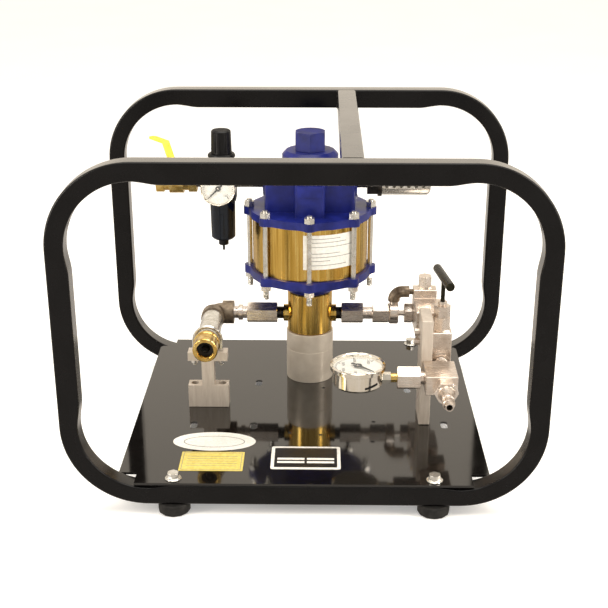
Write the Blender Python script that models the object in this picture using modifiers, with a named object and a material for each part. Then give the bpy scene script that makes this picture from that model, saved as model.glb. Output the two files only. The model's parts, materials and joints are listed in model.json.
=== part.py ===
"""Air-driven hydrostatic test pump in a roll cage of two bent square-tube frames.

Metres, +Z up, -Y towards the operator. The origin lies on the floor at the middle of the feet.
"""

import math

import bmesh
import bpy
from mathutils import Matrix, Vector

# General
SEAT_GAP = 0.0003
OVERRUN = 0.0020
MERGE_DISTANCE = 0.00001
LARGE_STEPS = 32
MEDIUM_STEPS = 20
SMALL_STEPS = 12
TINY_STEPS = 8
HEX_SIDES = 6
ROUND_STEPS = 6
LOBE_STEPS = 5
HUB_STEPS = 12
SMOOTH_DEGREES = 35.0
BEVEL_DEGREES = 40.0

# Roll cage
FRAME_WIDTH = 0.5700
CAGE_CLEARANCE = 0.0350
TUBE_SIZE = 0.0254
TUBE_WALL = 0.0020
TUBE_CORNER = 0.0028
BEND_RADIUS = 0.1000
BEND_SQUEEZE = 0.0036
SQUEEZE_RUN = 0.0300
BEND_STEPS = 5
SQUEEZE_STEPS = 1
CROSSBAR_OFFSET = 0.0530
CROSSBAR_WALL = 0.0020

# Base plate
PLATE_LENGTH = 0.4470
PLATE_DEPTH = 0.4490
PLATE_OVERHANG = 0.0120
PLATE_THICKNESS = 0.0030
NOTCH_LENGTH = 0.0220
NOTCH_DEPTH = 0.0260
SLOT_WIDTH = 0.0090
SLOT_LENGTH = 0.0200
SPARE_HOLE_RADIUS = 0.0028
# Slot and hole centres as shares of the plate's half length and half depth.
SLOT_CENTRE_SHARES = (
    (-0.303, 0.289),
    (-0.653, -0.308),
    (-0.301, -0.315),
    (0.626, 0.198),
    (0.810, -0.286),
)
HOLE_CENTRE_SHARES = (
    (-0.088, -0.402),
    (0.088, -0.425),
    (0.104, 0.220),
    (0.399, -0.253),
    (0.384, -0.507),
)

# Feet and their flanged bolts
FOOT_HEIGHT = 0.0145
FOOT_RADIUS = 0.0195
FOOT_TOP_RADIUS = 0.0180
FOOT_EDGE = 0.0020
FOOT_OFFSET = 0.1560
BOLT_RADIUS = 0.0040
BOLT_CLEARANCE = 0.0004
BOLT_FLANGE_RADIUS = 0.0100
BOLT_FLANGE_HEIGHT = 0.0018
BOLT_HEAD_FLATS = 0.0130
BOLT_HEAD_HEIGHT = 0.0060
BOLT_FLOOR_CLEARANCE = 0.0040

# Cap screws from below the plate and in the bracket
SCREW_RADIUS = 0.0030
SCREW_HEAD_RADIUS = 0.0050
SCREW_HEAD_HEIGHT = 0.0060
SCREW_LENGTH = 0.0180
SCREW_SOCKET_FLATS = 0.0050
SCREW_SOCKET_DEPTH = 0.0030

# Pump stack, from the plate up
PUMP_X = 0.0036
PUMP_Y = 0.0970
PEDESTAL_RADIUS = 0.0327
PEDESTAL_HEIGHT = 0.0710
PEDESTAL_GROOVE = 0.0006
PEDESTAL_GROOVE_WIDTH = 0.0016
PEDESTAL_SCREW_CIRCLE = 0.0200
PEDESTAL_RING_SHARES = (0.62,)
BODY_RADIUS = 0.0310
BODY_HEIGHT = 0.0580
BODY_EDGE = 0.0012
WATER_LINE_RISE = 0.0230
PORT_COLLAR_RADIUS = 0.0120
PORT_COLLAR_REACH = 0.0368
WATER_PASSAGE_RADIUS = 0.0040
CHAMBER_RADIUS = 0.0100
CHAMBER_FLOOR = 0.0060
PACKING_RADIUS = 0.0130
PACKING_HEIGHT = 0.0100
PACKING_RISE = 0.0330
PLUNGER_RADIUS = 0.0080
PLUNGER_REST = 0.0010
PISTON_STROKE = 0.0280

# Air motor
NECK_RADIUS = 0.0345
NECK_HEIGHT = 0.0254
NECK_ROUND = 0.0060
RIM_RADIUS = 0.0830
LOBE_CIRCLE_RADIUS = 0.0825
LOBE_RADIUS = 0.0078
LOBE_FILLET_RADIUS = 0.0060
LOBE_COUNT = 8
LOWER_FLANGE_THICKNESS = 0.0115
UPPER_FLANGE_THICKNESS = 0.0105
FLANGE_EDGE = 0.0012
REGISTER_HEIGHT = 0.0030
BARREL_RADIUS = 0.0785
BARREL_WALL = 0.0035
BARREL_LENGTH = 0.0715
PISTON_CROWN = 0.0100
PISTON_SKIRT_WALL = 0.0060
PISTON_RUNNING_GAP = 0.0006
SEAL_HEIGHT = 0.0050
SEAL_DEPTH = 0.0040
SEAL_RISE = 0.0200
TIE_ROD_RADIUS = 0.0035
ROD_BELOW_FLANGE = 0.0190
ROD_ABOVE_FLANGE = 0.0100
NUT_FLATS = 0.0127
NUT_HEIGHT = 0.0065

# Air head casting and its cap
HEAD_HALF_WIDTH = 0.0604
HEAD_HALF_DEPTH = 0.0330
HEAD_HEIGHT = 0.0525
HEAD_CORNER = 0.0060
BOSS_HALF_WIDTH = 0.0200
BOSS_REACH = 0.0580
BOSS_CORNER = 0.0040
PAD_HALF_WIDTH = 0.0165
PAD_HEIGHT = 0.0150
PAD_THICKNESS = 0.0012
AIR_LINE_RISE = 0.0345
AIR_PORT_RADIUS = 0.0195
AIR_PORT_REACH = 0.0629
AIR_PASSAGE_RADIUS = 0.0055
COLLAR_RADIUS = 0.0376
COLLAR_HEIGHT = 0.0200
COLLAR_CHAMFER = 0.0051
CAP_ACROSS_CORNERS = 0.0450
CAP_HEIGHT = 0.0250
CAP_CHAMFER = 0.0030
CAP_SPIGOT_RADIUS = 0.0150
CAP_SPIGOT_LENGTH = 0.0120
SPOOL_RADIUS = 0.0090
SPOOL_WAIST_RADIUS = 0.0060
SPOOL_LENGTH = 0.0480
SPOOL_LAND = 0.0090
SPOOL_LEDGE = 0.0140
SPOOL_BORE_RADIUS = 0.0060

# Pipe nipples
NIPPLE_RADIUS = 0.0085
NIPPLE_BORE = 0.0055
NIPPLE_LENGTH = 0.0310
LONG_NIPPLE_LENGTH = 0.0500
EXHAUST_GAP = 0.0137
SUPPLY_GAP = 0.0145

# Exhaust muffler
MUFFLER_HEX_LENGTH = 0.0142
MUFFLER_HEX_RADIUS = 0.0177
MUFFLER_RING_LENGTH = 0.0053
MUFFLER_RING_RADIUS = 0.0200
MUFFLER_RADIUS = 0.0178
MUFFLER_WALL = 0.0030
MUFFLER_LENGTH = 0.0613
MUFFLER_END_RING = 0.0038
MUFFLER_END_RADIUS = 0.0164
WINDOW_COUNT = 6
WINDOW_ROWS = 4
WINDOW_RADIUS = 0.0025
WINDOW_PITCH = 0.0098
WINDOW_STEPS = 6

# Filter regulator
REGULATOR_X = -0.1150
REGULATOR_HALF_WIDTH = 0.0190
REGULATOR_HALF_DEPTH = 0.0200
REGULATOR_CORNER = 0.0060
REGULATOR_BELOW_LINE = 0.0240
REGULATOR_ABOVE_LINE = 0.0130
BONNET_RADIUS = 0.0170
BONNET_TOP_RADIUS = 0.0185
BONNET_HEIGHT = 0.0250
BONNET_RIM = 0.0045
KNOB_RADIUS = 0.0140
KNOB_TOP_RADIUS = 0.0132
KNOB_HEIGHT = 0.0310
KNOB_EDGE = 0.0018
KNOB_FLUTES = 12
KNOB_FLUTE_RADIUS = 0.0012
FLUTE_STEPS = 6
ADJUSTER_RADIUS = 0.0050
ADJUSTER_HEAD_RADIUS = 0.0080
ADJUSTER_HEAD_HEIGHT = 0.0040
ADJUSTER_DEPTH = 0.0120
ADJUSTER_RISE = 0.0200
BOWL_RADIUS = 0.0172
BOWL_FOOT_RADIUS = 0.0164
BOWL_HEIGHT = 0.0560
BOWL_WALL = 0.0022
BOWL_NECK_RADIUS = 0.0140
BOWL_NECK_HEIGHT = 0.0060
BOWL_ROUND = 0.0030
SIGHT_WIDTH = 0.0040
SIGHT_HEIGHT = 0.0300
SIGHT_DEPTH = 0.0006
SIGHT_RISE = 0.0080
DRAIN_RADIUS = 0.0068
DRAIN_HEIGHT = 0.0085
DRAIN_TIP_RADIUS = 0.0016
DRAIN_TIP_LENGTH = 0.0082
DRAIN_STEM_RADIUS = 0.0030
DRAIN_STEM_LENGTH = 0.0060

# Small pressure gauge on the regulator
DIAL_GAUGE_RADIUS = 0.0230
DIAL_GAUGE_DEPTH = 0.0200
DIAL_GAUGE_RIM = 0.0016
DIAL_GAUGE_RECESS = 0.0040
DIAL_GAUGE_SHIFT = -0.0020
DIAL_GAUGE_FRONT = 0.0520
GAUGE_STEM_RADIUS = 0.0060
GAUGE_STEM_SEAT = 0.0060
POINTER_THICKNESS = 0.0006
POINTER_HUB_SHARE = 0.16
POINTER_TIP_SHARE = 0.78
POINTER_TAIL_SHARE = 0.30
POINTER_ROOT_SHARE = 0.055
POINTER_END_SHARE = 0.016
POINTER_SHAFT_SHARE = 0.05
POINTER_DEPTH_SHARE = 0.55
ZERO_DEGREES = 225.0

# Ball valve on the air supply
BALL_VALVE_LENGTH = 0.0550
BALL_VALVE_RADIUS = 0.0130
BALL_VALVE_HEX = 0.0270
BALL_VALVE_HEX_LENGTH = 0.0110
BALL_RADIUS = 0.0095
BALL_BORE = 0.0060
BALL_STEM_RADIUS = 0.0035
BALL_BOSS_RADIUS = 0.0070
BALL_BOSS_RISE = 0.0190
LEVER_RISE = 0.0240
LEVER_LENGTH = 0.0660
LEVER_WIDTH = 0.0110
LEVER_HUB_WIDTH = 0.0180
LEVER_THICKNESS = 0.0026
LEVER_STEP_HEIGHT = 0.0220
LEVER_STEP_START_SHARE = 0.18
LEVER_STEP_END_SHARE = 0.40
LEVER_PHOTO_DEGREES = 37.0

# Check valves on both sides of the pump
CHECK_FLATS = 0.0260
INLET_CHECK_LENGTH = 0.0420
OUTLET_CHECK_LENGTH = 0.0301
INLET_CHECK_GAP = 0.0090
OUTLET_CHECK_GAP = 0.0075
CHECK_EDGE = 0.0010
CHECK_CHAMBER_RADIUS = 0.0075
CHECK_BALL_RADIUS = 0.0045
CHECK_BALL_TRAVEL = 0.0020
CHECK_SEAT_RADIUS = 0.0035

# Water inlet
INLET_X = -0.1310
HEX_NIPPLE_GAP = 0.0190
HEX_NIPPLE_RING = 0.0062
HEX_NIPPLE_RING_RADIUS = 0.0110
ELBOW_COLLAR_LENGTH = 0.0155
ELBOW_COLLAR_RADIUS = 0.0163
ELBOW_BODY_RADIUS = 0.0132
ELBOW_BEND_RADIUS = 0.0146
ELBOW_STEPS = 5
PIPE_RADIUS = 0.0148
PIPE_BORE = 0.0070
PIPE_FRONT = -0.0156
PIPE_THREAD = 0.0080
PIPE_NECK_RADIUS = 0.0096
SWIVEL_FRONT = -0.0450
SWIVEL_RADIUS = 0.0165
SWIVEL_BORE = 0.0117
SWIVEL_SOCKET = 0.0140
SWIVEL_LIP = 0.0025
SWIVEL_COLLAR_RADIUS = 0.0178
SWIVEL_COLLAR_LENGTH = 0.0060
WASHER_THICKNESS = 0.0025
WASHER_HOLE = 0.0065
BRACKET_Y = -0.0063
BRACKET_DEPTH = 0.0180
BRACKET_BASE_LENGTH = 0.0540
BRACKET_BASE_HEIGHT = 0.0320
BRACKET_POST_LENGTH = 0.0165
BRACKET_BAR_LENGTH = 0.0525
BRACKET_BAR_HEIGHT = 0.0120
BRACKET_SCREW_SPACING = 0.0370
U_BOLT_RADIUS = 0.0026
U_BOLT_BELOW_BAR = 0.0085
U_BOLT_STEPS = 10
U_NUT_FLATS = 0.0090
U_NUT_HEIGHT = 0.0045

# Water outlet manifold
OUTLET_NIPPLE_GAP = 0.0135
ADAPTER_FLATS = 0.0250
ADAPTER_LENGTH = 0.0230
TEE_RADIUS = 0.0150
TEE_LENGTH = 0.0125
TEE_SPIGOT_RADIUS = 0.0070
TEE_SPIGOT_LENGTH = 0.0080
TEE_NECK_RADIUS = 0.0060
TEE_NECK_HEIGHT = 0.0030
OUTLET_TUBE_RADIUS = 0.0040
TUBE_INSERT = 0.0060
TUBE_NUT_LENGTH = 0.0113
TUBE_NUT_FLATS = 0.0250
RELIEF_ELBOW_RADIUS = 0.0083
RELIEF_STUB_RADIUS = 0.0040
RELIEF_ELBOW_RISE = 0.0320
RELIEF_ELBOW_BEND = 0.0110
RELIEF_ELBOW_END = 0.1420
RELIEF_X = 0.1475
RELIEF_LENGTH = 0.0321
RELIEF_DEPTH = 0.0220
RELIEF_BELOW_LINE = 0.0140
RELIEF_ABOVE_LINE = 0.0380
RELIEF_PLUG_FLATS = 0.0170
RELIEF_PLUG_HEIGHT = 0.0180
MANIFOLD_LENGTH = 0.0380
MANIFOLD_DEPTH = 0.0550
MANIFOLD_BELOW_LINE = 0.0120
MANIFOLD_ABOVE_LINE = 0.0260
BLOCK_EDGE = 0.0008

# Needle valve
VALVE_Y = -0.0360
LINK_ENGAGED = 0.0070
VALVE_SIZE = 0.0254
VALVE_BASE = 0.1085
VALVE_HEIGHT = 0.0575
VALVE_PORT_RISE = 0.0170
VALVE_CROSS_RISE = 0.0340
VALVE_BOSS_RADIUS = 0.0122
VALVE_BOSS_HEIGHT = 0.0025
GLAND_FLATS = 0.0201
GLAND_HEIGHT = 0.0185
BONNET_HEX_FLATS = 0.0185
BONNET_HEX_HEIGHT = 0.0155
PACKING_NUT_RADIUS = 0.0058
PACKING_NUT_HEIGHT = 0.0052
PACKING_NUT_GROOVE = 0.0012
NEEDLE_RADIUS = 0.0030
NEEDLE_LENGTH = 0.0260
NEEDLE_TIP = 0.0060
NEEDLE_SEAT_RADIUS = 0.0015
NEEDLE_SEAT_DROP = 0.0060
VALVE_BORE_RADIUS = 0.0042
HANDLE_STEM_RADIUS = 0.0028
HANDLE_BAR_RADIUS = 0.0057
HANDLE_BAR_LENGTH = 0.0770
HANDLE_BAR_EDGE = 0.0010
HANDLE_RISE = 0.0319
HANDLE_DEGREES = 7.5

# Support bar, outlet block and fitting
SUPPORT_X = 0.1475
SUPPORT_THICKNESS = 0.0142
SUPPORT_DEPTH = 0.0500
SUPPORT_FRONT = -0.0650
SUPPORT_TOP = 0.1885
SUPPORT_SCREW_SPACING = 0.0300
VALVE_SCREW_Y = -0.0300
VALVE_SCREW_LOW = 0.0385
VALVE_SCREW_SPACING = 0.0130
OUTLET_BLOCK_LENGTH = 0.0400
OUTLET_BLOCK_DEPTH = 0.0520
OUTLET_BLOCK_HEIGHT = 0.0250
OUTLET_BLOCK_X = 0.1500
OUTLET_BLOCK_BASE = 0.1100
FITTING_RISE = 0.0107
FITTING_X = 0.1740
FITTING_FLATS = 0.0265
FITTING_HEX_LENGTH = 0.0180
FITTING_NECK_LENGTH = 0.0100
FITTING_NECK_RADIUS = 0.0110
FITTING_TIP_LENGTH = 0.0290
FITTING_TIP_RADIUS = 0.0075
FITTING_CONE_RADIUS = 0.0062
FITTING_CONE_LENGTH = 0.0080
FITTING_BORE = 0.0040
FITTING_SPIGOT_RADIUS = 0.0070
FITTING_SPIGOT_LENGTH = 0.0080

# Test gauge lying face up
GAUGE_X = 0.0660
GAUGE_Y = -0.0900
GAUGE_RIM_TOP = 0.1420
GAUGE_RADIUS = 0.0350
GAUGE_RIM_HEIGHT = 0.0070
GAUGE_CASE_RADIUS = 0.0315
GAUGE_CASE_HEIGHT = 0.0295
GAUGE_RIM_WIDTH = 0.0035
GAUGE_RECESS = 0.0060
GAUGE_STEM_AXIS = 0.1220
GAUGE_STEM_WIDTH = 0.0130
GAUGE_FLATS_END = 0.1079
GAUGE_STEM_END = 0.1155
GAUGE_STEM_INSERT = 0.0060
GAUGE_ADAPTER_LENGTH = 0.0290
GAUGE_ADAPTER_FLATS = 0.0265
GAUGE_POINTER_DEGREES = 45.0

BLACK_PAINT = ("black_paint", (0.012, 0.012, 0.014), 0.0, 0.28)
PLATE_PAINT = ("gloss_black_plate", (0.010, 0.010, 0.012), 0.0, 0.08)
ZINC = ("bright_zinc", (0.72, 0.72, 0.70), 1.0, 0.28)
RUBBER = ("black_rubber", (0.020, 0.020, 0.020), 0.0, 0.75)
GREY_ALUMINIUM = ("grey_aluminium", (0.46, 0.45, 0.44), 1.0, 0.45)
GOLD = ("gold_anodised", (0.62, 0.38, 0.08), 1.0, 0.30)
BLUE_PAINT = ("blue_paint", (0.030, 0.040, 0.220), 0.0, 0.35)
STEEL = ("satin_steel", (0.56, 0.53, 0.50), 1.0, 0.30)
DARK_STEEL = ("dark_steel", (0.060, 0.055, 0.050), 0.8, 0.45)
BLACK_PLASTIC = ("black_plastic", (0.020, 0.020, 0.022), 0.0, 0.45)
BOWL_PLASTIC = ("dark_blue_bowl", (0.010, 0.016, 0.030), 0.0, 0.20)
BRASS = ("polished_brass", (0.80, 0.52, 0.14), 1.0, 0.20)
YELLOW_PLASTIC = ("yellow_vinyl", (0.80, 0.66, 0.02), 0.0, 0.40)

# Levels that follow from the sizes above
RAIL_TOP = FOOT_HEIGHT + TUBE_SIZE
RAIL_Y = PLATE_DEPTH / 2 - PLATE_OVERHANG
PLATE_BOTTOM = RAIL_TOP + SEAT_GAP
PLATE_TOP = PLATE_BOTTOM + PLATE_THICKNESS
PEDESTAL_BASE = PLATE_TOP + SEAT_GAP
BODY_BASE = PEDESTAL_BASE + PEDESTAL_HEIGHT + SEAT_GAP
BODY_TOP = BODY_BASE + BODY_HEIGHT
WATER_LINE = BODY_BASE + WATER_LINE_RISE
NECK_BASE = BODY_TOP + SEAT_GAP
LOWER_FLANGE_BASE = NECK_BASE + NECK_HEIGHT
LOWER_FLANGE_TOP = LOWER_FLANGE_BASE + LOWER_FLANGE_THICKNESS
BARREL_BASE = LOWER_FLANGE_TOP + SEAT_GAP
UPPER_FLANGE_BASE = BARREL_BASE + BARREL_LENGTH + SEAT_GAP
UPPER_FLANGE_TOP = UPPER_FLANGE_BASE + UPPER_FLANGE_THICKNESS
AIR_LINE = UPPER_FLANGE_TOP + AIR_LINE_RISE
COLLAR_BASE = UPPER_FLANGE_TOP + HEAD_HEIGHT
COLLAR_TOP = COLLAR_BASE + COLLAR_HEIGHT + COLLAR_CHAMFER
CAP_BASE = COLLAR_TOP + SEAT_GAP
CAGE_TOP = CAP_BASE + CAP_HEIGHT + CAGE_CLEARANCE
FRAME_HEIGHT = CAGE_TOP - FOOT_HEIGHT
PACKING_BASE = BODY_BASE + PACKING_RISE
PLUNGER_BASE = BODY_BASE + CHAMBER_FLOOR + PLUNGER_REST
PISTON_BASE = LOWER_FLANGE_TOP + REGISTER_HEIGHT + SEAT_GAP
PISTON_TOP = UPPER_FLANGE_BASE - REGISTER_HEIGHT - SEAT_GAP - PISTON_STROKE
BARREL_BORE = BARREL_RADIUS - BARREL_WALL
BARREL_FIT = BARREL_BORE - SEAT_GAP
HEAD_LEFT = PUMP_X - AIR_PORT_REACH
HEAD_RIGHT = PUMP_X + AIR_PORT_REACH
REGULATOR_LEFT = REGULATOR_X - REGULATOR_HALF_WIDTH
REGULATOR_RIGHT = REGULATOR_X + REGULATOR_HALF_WIDTH
REGULATOR_NIPPLE_GAP = HEAD_LEFT - REGULATOR_RIGHT
PORT_LEFT = PUMP_X - PORT_COLLAR_REACH
PORT_RIGHT = PUMP_X + PORT_COLLAR_REACH
BALL_VALVE_X = REGULATOR_LEFT - SUPPLY_GAP - BALL_VALVE_LENGTH / 2
INLET_CHECK_X = PORT_LEFT - INLET_CHECK_GAP
OUTLET_CHECK_X = PORT_RIGHT + OUTLET_CHECK_GAP
ADAPTER_X = OUTLET_CHECK_X + OUTLET_CHECK_LENGTH + OUTLET_NIPPLE_GAP
TEE_X = ADAPTER_X + ADAPTER_LENGTH + SEAT_GAP
TUBE_NUT_X = RELIEF_X - SEAT_GAP - TUBE_NUT_LENGTH
ELBOW_FACE = INLET_CHECK_X - INLET_CHECK_LENGTH - HEX_NIPPLE_GAP
ELBOW_FRONT = PUMP_Y - (ELBOW_FACE - INLET_X)
BAR_TOP = WATER_LINE - PIPE_RADIUS - SEAT_GAP
U_BOLT_BEND = PIPE_RADIUS + 2 * SEAT_GAP + U_BOLT_RADIUS
FRONT_LINE = VALVE_BASE + VALVE_PORT_RISE
LINK_LINE = VALVE_BASE + VALVE_CROSS_RISE
FITTING_LINE = OUTLET_BLOCK_BASE + FITTING_RISE
VALVE_FRONT = VALVE_Y - VALVE_SIZE / 2 - VALVE_BOSS_HEIGHT
BLOCK_REAR = SUPPORT_FRONT - SEAT_GAP
LINK_GAP = PUMP_Y - RELIEF_DEPTH / 2 - SEAT_GAP - MANIFOLD_DEPTH - VALVE_Y - VALVE_SIZE / 2
NEEDLE_BASE = LINK_LINE - NEEDLE_SEAT_DROP
HANDLE_LEVEL = (
    VALVE_BASE + VALVE_HEIGHT + SEAT_GAP + GLAND_HEIGHT + BONNET_HEX_HEIGHT + PACKING_NUT_HEIGHT + HANDLE_RISE
)
GAUGE_ADAPTER_X = GAUGE_STEM_END + SEAT_GAP
GAUGE_ADAPTER_END = GAUGE_ADAPTER_X + GAUGE_ADAPTER_LENGTH
VALVE_X = SUPPORT_X + SUPPORT_THICKNESS + SEAT_GAP + VALVE_SIZE / 2


def half(size):
    return size / 2


def hex_radius(flats):
    return half(flats) / math.cos(math.pi / HEX_SIDES)


class Workshop:
    """Collections, materials and the objects that the part is made of."""

    def __init__(self, name):
        for old in list(bpy.data.objects):
            bpy.data.objects.remove(old, do_unlink=True)
        self.parts = self.collection(name)
        self.tools = self.collection("cutters")
        self.materials = {}

    def collection(self, name):
        made = bpy.data.collections.new(name)
        bpy.context.scene.collection.children.link(made)
        return made

    def material(self, finish):
        name, colour, metallic, roughness = finish
        if name not in self.materials:
            made = bpy.data.materials.new(name)
            made.use_nodes = True
            shader = made.node_tree.nodes["Principled BSDF"]
            shader.inputs["Base Color"].default_value = (*colour, 1)
            shader.inputs["Metallic"].default_value = metallic
            shader.inputs["Roughness"].default_value = roughness
            self.materials[name] = made
        return self.materials[name]

    def add(self, name, mesh, finish=None, matrix=None):
        """Link a mesh as a part, or as a hidden cutter where it has no finish."""
        made = bpy.data.objects.new(name, mesh)
        if finish is None:
            self.tools.objects.link(made)
            made.hide_render = True
            made.display_type = "WIRE"
        else:
            self.parts.objects.link(made)
            mesh.materials.clear()
            mesh.materials.append(self.material(finish))
        if matrix is not None:
            made.matrix_world = matrix
        mesh.shade_smooth()
        mesh.set_sharp_from_angle(angle=math.radians(SMOOTH_DEGREES))
        return made


AXES = {
    "X": Matrix.Rotation(math.pi / 2, 4, "Y"),
    "Y": Matrix.Rotation(-math.pi / 2, 4, "X"),
    "Z": Matrix.Identity(4),
    "-X": Matrix.Rotation(-math.pi / 2, 4, "Y"),
    "-Y": Matrix.Rotation(math.pi / 2, 4, "X"),
    "-Z": Matrix.Rotation(math.pi, 4, "X"),
}
SHOP = Workshop("hydrostatic_test_pump")
SIDEWAYS = Matrix.Rotation(math.pi / 2, 4, "X")


def place(x, y, z, axis="Z", turn=0.0):
    """A frame at a point whose local Z runs along the named axis."""
    return Matrix.Translation((x, y, z)) @ AXES[axis] @ Matrix.Rotation(turn, 4, "Z")


def bmesh_to_mesh(name, form):
    mesh = bpy.data.meshes.new(name)
    bmesh.ops.recalc_face_normals(form, faces=form.faces[:])
    form.to_mesh(mesh)
    form.free()
    return mesh


def turned(name, profile, finish, matrix, steps=MEDIUM_STEPS):
    """Turn a closed profile of (radius, height) points that runs down its outer side."""
    points = [(0 if abs(radius) < MERGE_DISTANCE else radius, height) for radius, height in profile]
    edges = [(index, (index + 1) % len(points)) for index in range(len(points))]
    edges = [edge for edge in edges if points[edge[0]][0] > 0 or points[edge[1]][0] > 0]
    mesh = bpy.data.meshes.new(name)
    mesh.from_pydata([(radius, 0, height) for radius, height in points], edges, [])
    made = SHOP.add(name, mesh, finish, matrix)
    screw = made.modifiers.new("turn", "SCREW")
    screw.steps = steps
    screw.render_steps = steps
    screw.use_merge_vertices = True
    screw.merge_threshold = MERGE_DISTANCE
    screw.use_smooth_shade = True
    return made


def rod_profile(radius, bottom, top):
    return [(0, top), (radius, top), (radius, bottom), (0, bottom)]


def ring_profile(outer, inner, bottom, top):
    return [(outer, top), (outer, bottom), (inner, bottom), (inner, top)]


def rod(name, radius, bottom, top, finish, matrix, steps=SMALL_STEPS):
    return turned(name, rod_profile(radius, bottom, top), finish, matrix, steps)


def box(name, low, high, finish=None, matrix=None):
    """A box between two corners."""
    form = bmesh.new()
    size = Vector(high) - Vector(low)
    middle = (Vector(high) + Vector(low)) / 2
    frame = Matrix.Translation(middle) @ Matrix.Diagonal((*size, 1))
    bmesh.ops.create_cube(form, size=1, matrix=frame)
    return SHOP.add(name, bmesh_to_mesh(name, form), finish, matrix)


def prism(name, flats, bottom, top, finish=None, matrix=None, turn=0.0):
    """A hexagonal bar with two corners on its local X axis."""
    form = bmesh.new()
    radius = hex_radius(flats)
    frame = Matrix.Translation((0, 0, half(bottom + top))) @ Matrix.Rotation(turn, 4, "Z")
    bmesh.ops.create_cone(
        form, cap_ends=True, segments=HEX_SIDES, radius1=radius, radius2=radius, depth=top - bottom,
        matrix=frame
    )
    return SHOP.add(name, bmesh_to_mesh(name, form), finish, matrix)


def outline(name, loops, bottom, top, finish=None, matrix=None):
    """A flat outline, with any inner loops as holes, between two heights."""
    curve = bpy.data.curves.new(name, "CURVE")
    curve.dimensions = "2D"
    curve.fill_mode = "BOTH"
    curve.extrude = half(top - bottom)
    for loop in loops:
        spline = curve.splines.new("POLY")
        spline.points.add(len(loop) - 1)
        for point, (x, y) in zip(spline.points, loop):
            point.co = (x, y, 0, 1)
        spline.use_cyclic_u = True
    guide = bpy.data.objects.new(name + "_curve", curve)
    SHOP.tools.objects.link(guide)
    return mesh_from_curve(name, guide, Matrix.Translation((0, 0, half(bottom + top))), finish, matrix)


def mesh_from_curve(name, guide, shift, finish, matrix):
    """Make a curve a closed mesh and take the curve away."""
    bpy.context.view_layer.update()
    depsgraph = bpy.context.evaluated_depsgraph_get()
    mesh = bpy.data.meshes.new_from_object(guide.evaluated_get(depsgraph))
    curve = guide.data
    bpy.data.objects.remove(guide, do_unlink=True)
    bpy.data.curves.remove(curve)
    form = bmesh.new()
    form.from_mesh(mesh)
    bpy.data.meshes.remove(mesh)
    bmesh.ops.remove_doubles(form, verts=form.verts[:], dist=MERGE_DISTANCE)
    bmesh.ops.transform(form, matrix=shift, verts=form.verts[:])
    return SHOP.add(name, bmesh_to_mesh(name, form), finish, matrix)


def tube_along(name, points, radius, finish=None, matrix=None, resolution=3):
    """A round bar along a path of points."""
    curve = bpy.data.curves.new(name, "CURVE")
    curve.dimensions = "3D"
    curve.bevel_depth = radius
    curve.bevel_resolution = resolution
    curve.use_fill_caps = True
    spline = curve.splines.new("POLY")
    spline.points.add(len(points) - 1)
    for point, place_at in zip(spline.points, points):
        point.co = (*place_at, 1)
    guide = bpy.data.objects.new(name + "_curve", curve)
    SHOP.tools.objects.link(guide)
    return mesh_from_curve(name, guide, Matrix.Identity(4), finish, matrix)


def combine(target, operation, *tools):
    """Cut, join or trim a part with hidden tools."""
    for tool in tools:
        step = target.modifiers.new(tool.name, "BOOLEAN")
        step.operation = operation
        step.solver = "EXACT"
        step.object = tool
    return target


def cut(target, *tools):
    return combine(target, "DIFFERENCE", *tools)


def join(target, *tools):
    return combine(target, "UNION", *tools)


def trim(target, *tools):
    return combine(target, "INTERSECT", *tools)


def clean_joins(target):
    """Solve a part's Booleans in the way that keeps its many shapes closed."""
    for step in target.modifiers:
        if step.type == "BOOLEAN":
            step.solver = "MANIFOLD"
    return target


def bevel(target, width, segments=1, degrees=BEVEL_DEGREES):
    step = target.modifiers.new("edges", "BEVEL")
    step.width = width
    step.segments = segments
    step.limit_method = "ANGLE"
    step.angle_limit = math.radians(degrees)
    return target


def arc(centre_x, centre_y, radius, start, end, steps):
    """Points on an arc between two angles, both ends included."""
    span = end - start
    angles = [start + span * step / steps for step in range(steps + 1)]
    return [(centre_x + radius * math.cos(a), centre_y + radius * math.sin(a)) for a in angles]


def rounded_box(half_x, half_y, radius, steps=2):
    """A rectangle with round corners, counterclockwise."""
    loop = []
    for quarter, (side_x, side_y) in enumerate(((1, 1), (-1, 1), (-1, -1), (1, -1))):
        start = quarter * math.pi / 2
        centre_x = side_x * (half_x - radius)
        centre_y = side_y * (half_y - radius)
        loop += arc(centre_x, centre_y, radius, start, start + math.pi / 2, steps)
    return loop


# Roll cage and base


def frame_stations():
    """Outer points, inward directions and squeeze shares round the bent tube."""
    stations = []
    for quarter, (side_x, side_z) in enumerate(((1, 1), (-1, 1), (-1, -1), (1, -1))):
        centre = Vector((side_x * (half(FRAME_WIDTH) - BEND_RADIUS),
                         side_z * (half(FRAME_HEIGHT) - BEND_RADIUS)))
        first = quarter * math.pi / 2
        last = first + math.pi / 2
        for step in range(SQUEEZE_STEPS):
            share = step / SQUEEZE_STEPS
            back = Vector((math.sin(first), -math.cos(first))) * SQUEEZE_RUN * (1 - share)
            stations.append((centre, first, back, share * share * (3 - 2 * share)))
        for step in range(BEND_STEPS + 1):
            stations.append((centre, first + (last - first) * step / BEND_STEPS, Vector((0, 0)), 1))
        for step in range(SQUEEZE_STEPS):
            share = (step + 1) / SQUEEZE_STEPS
            ahead = Vector((-math.sin(last), math.cos(last))) * SQUEEZE_RUN * share
            stations.append((centre, last, ahead, 1 - share * share * (3 - 2 * share)))
    placed = []
    for centre, angle, shift, squeeze in stations:
        outward = Vector((math.cos(angle), math.sin(angle)))
        placed.append((centre + outward * BEND_RADIUS + shift, -outward, squeeze))
    return placed


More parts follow.
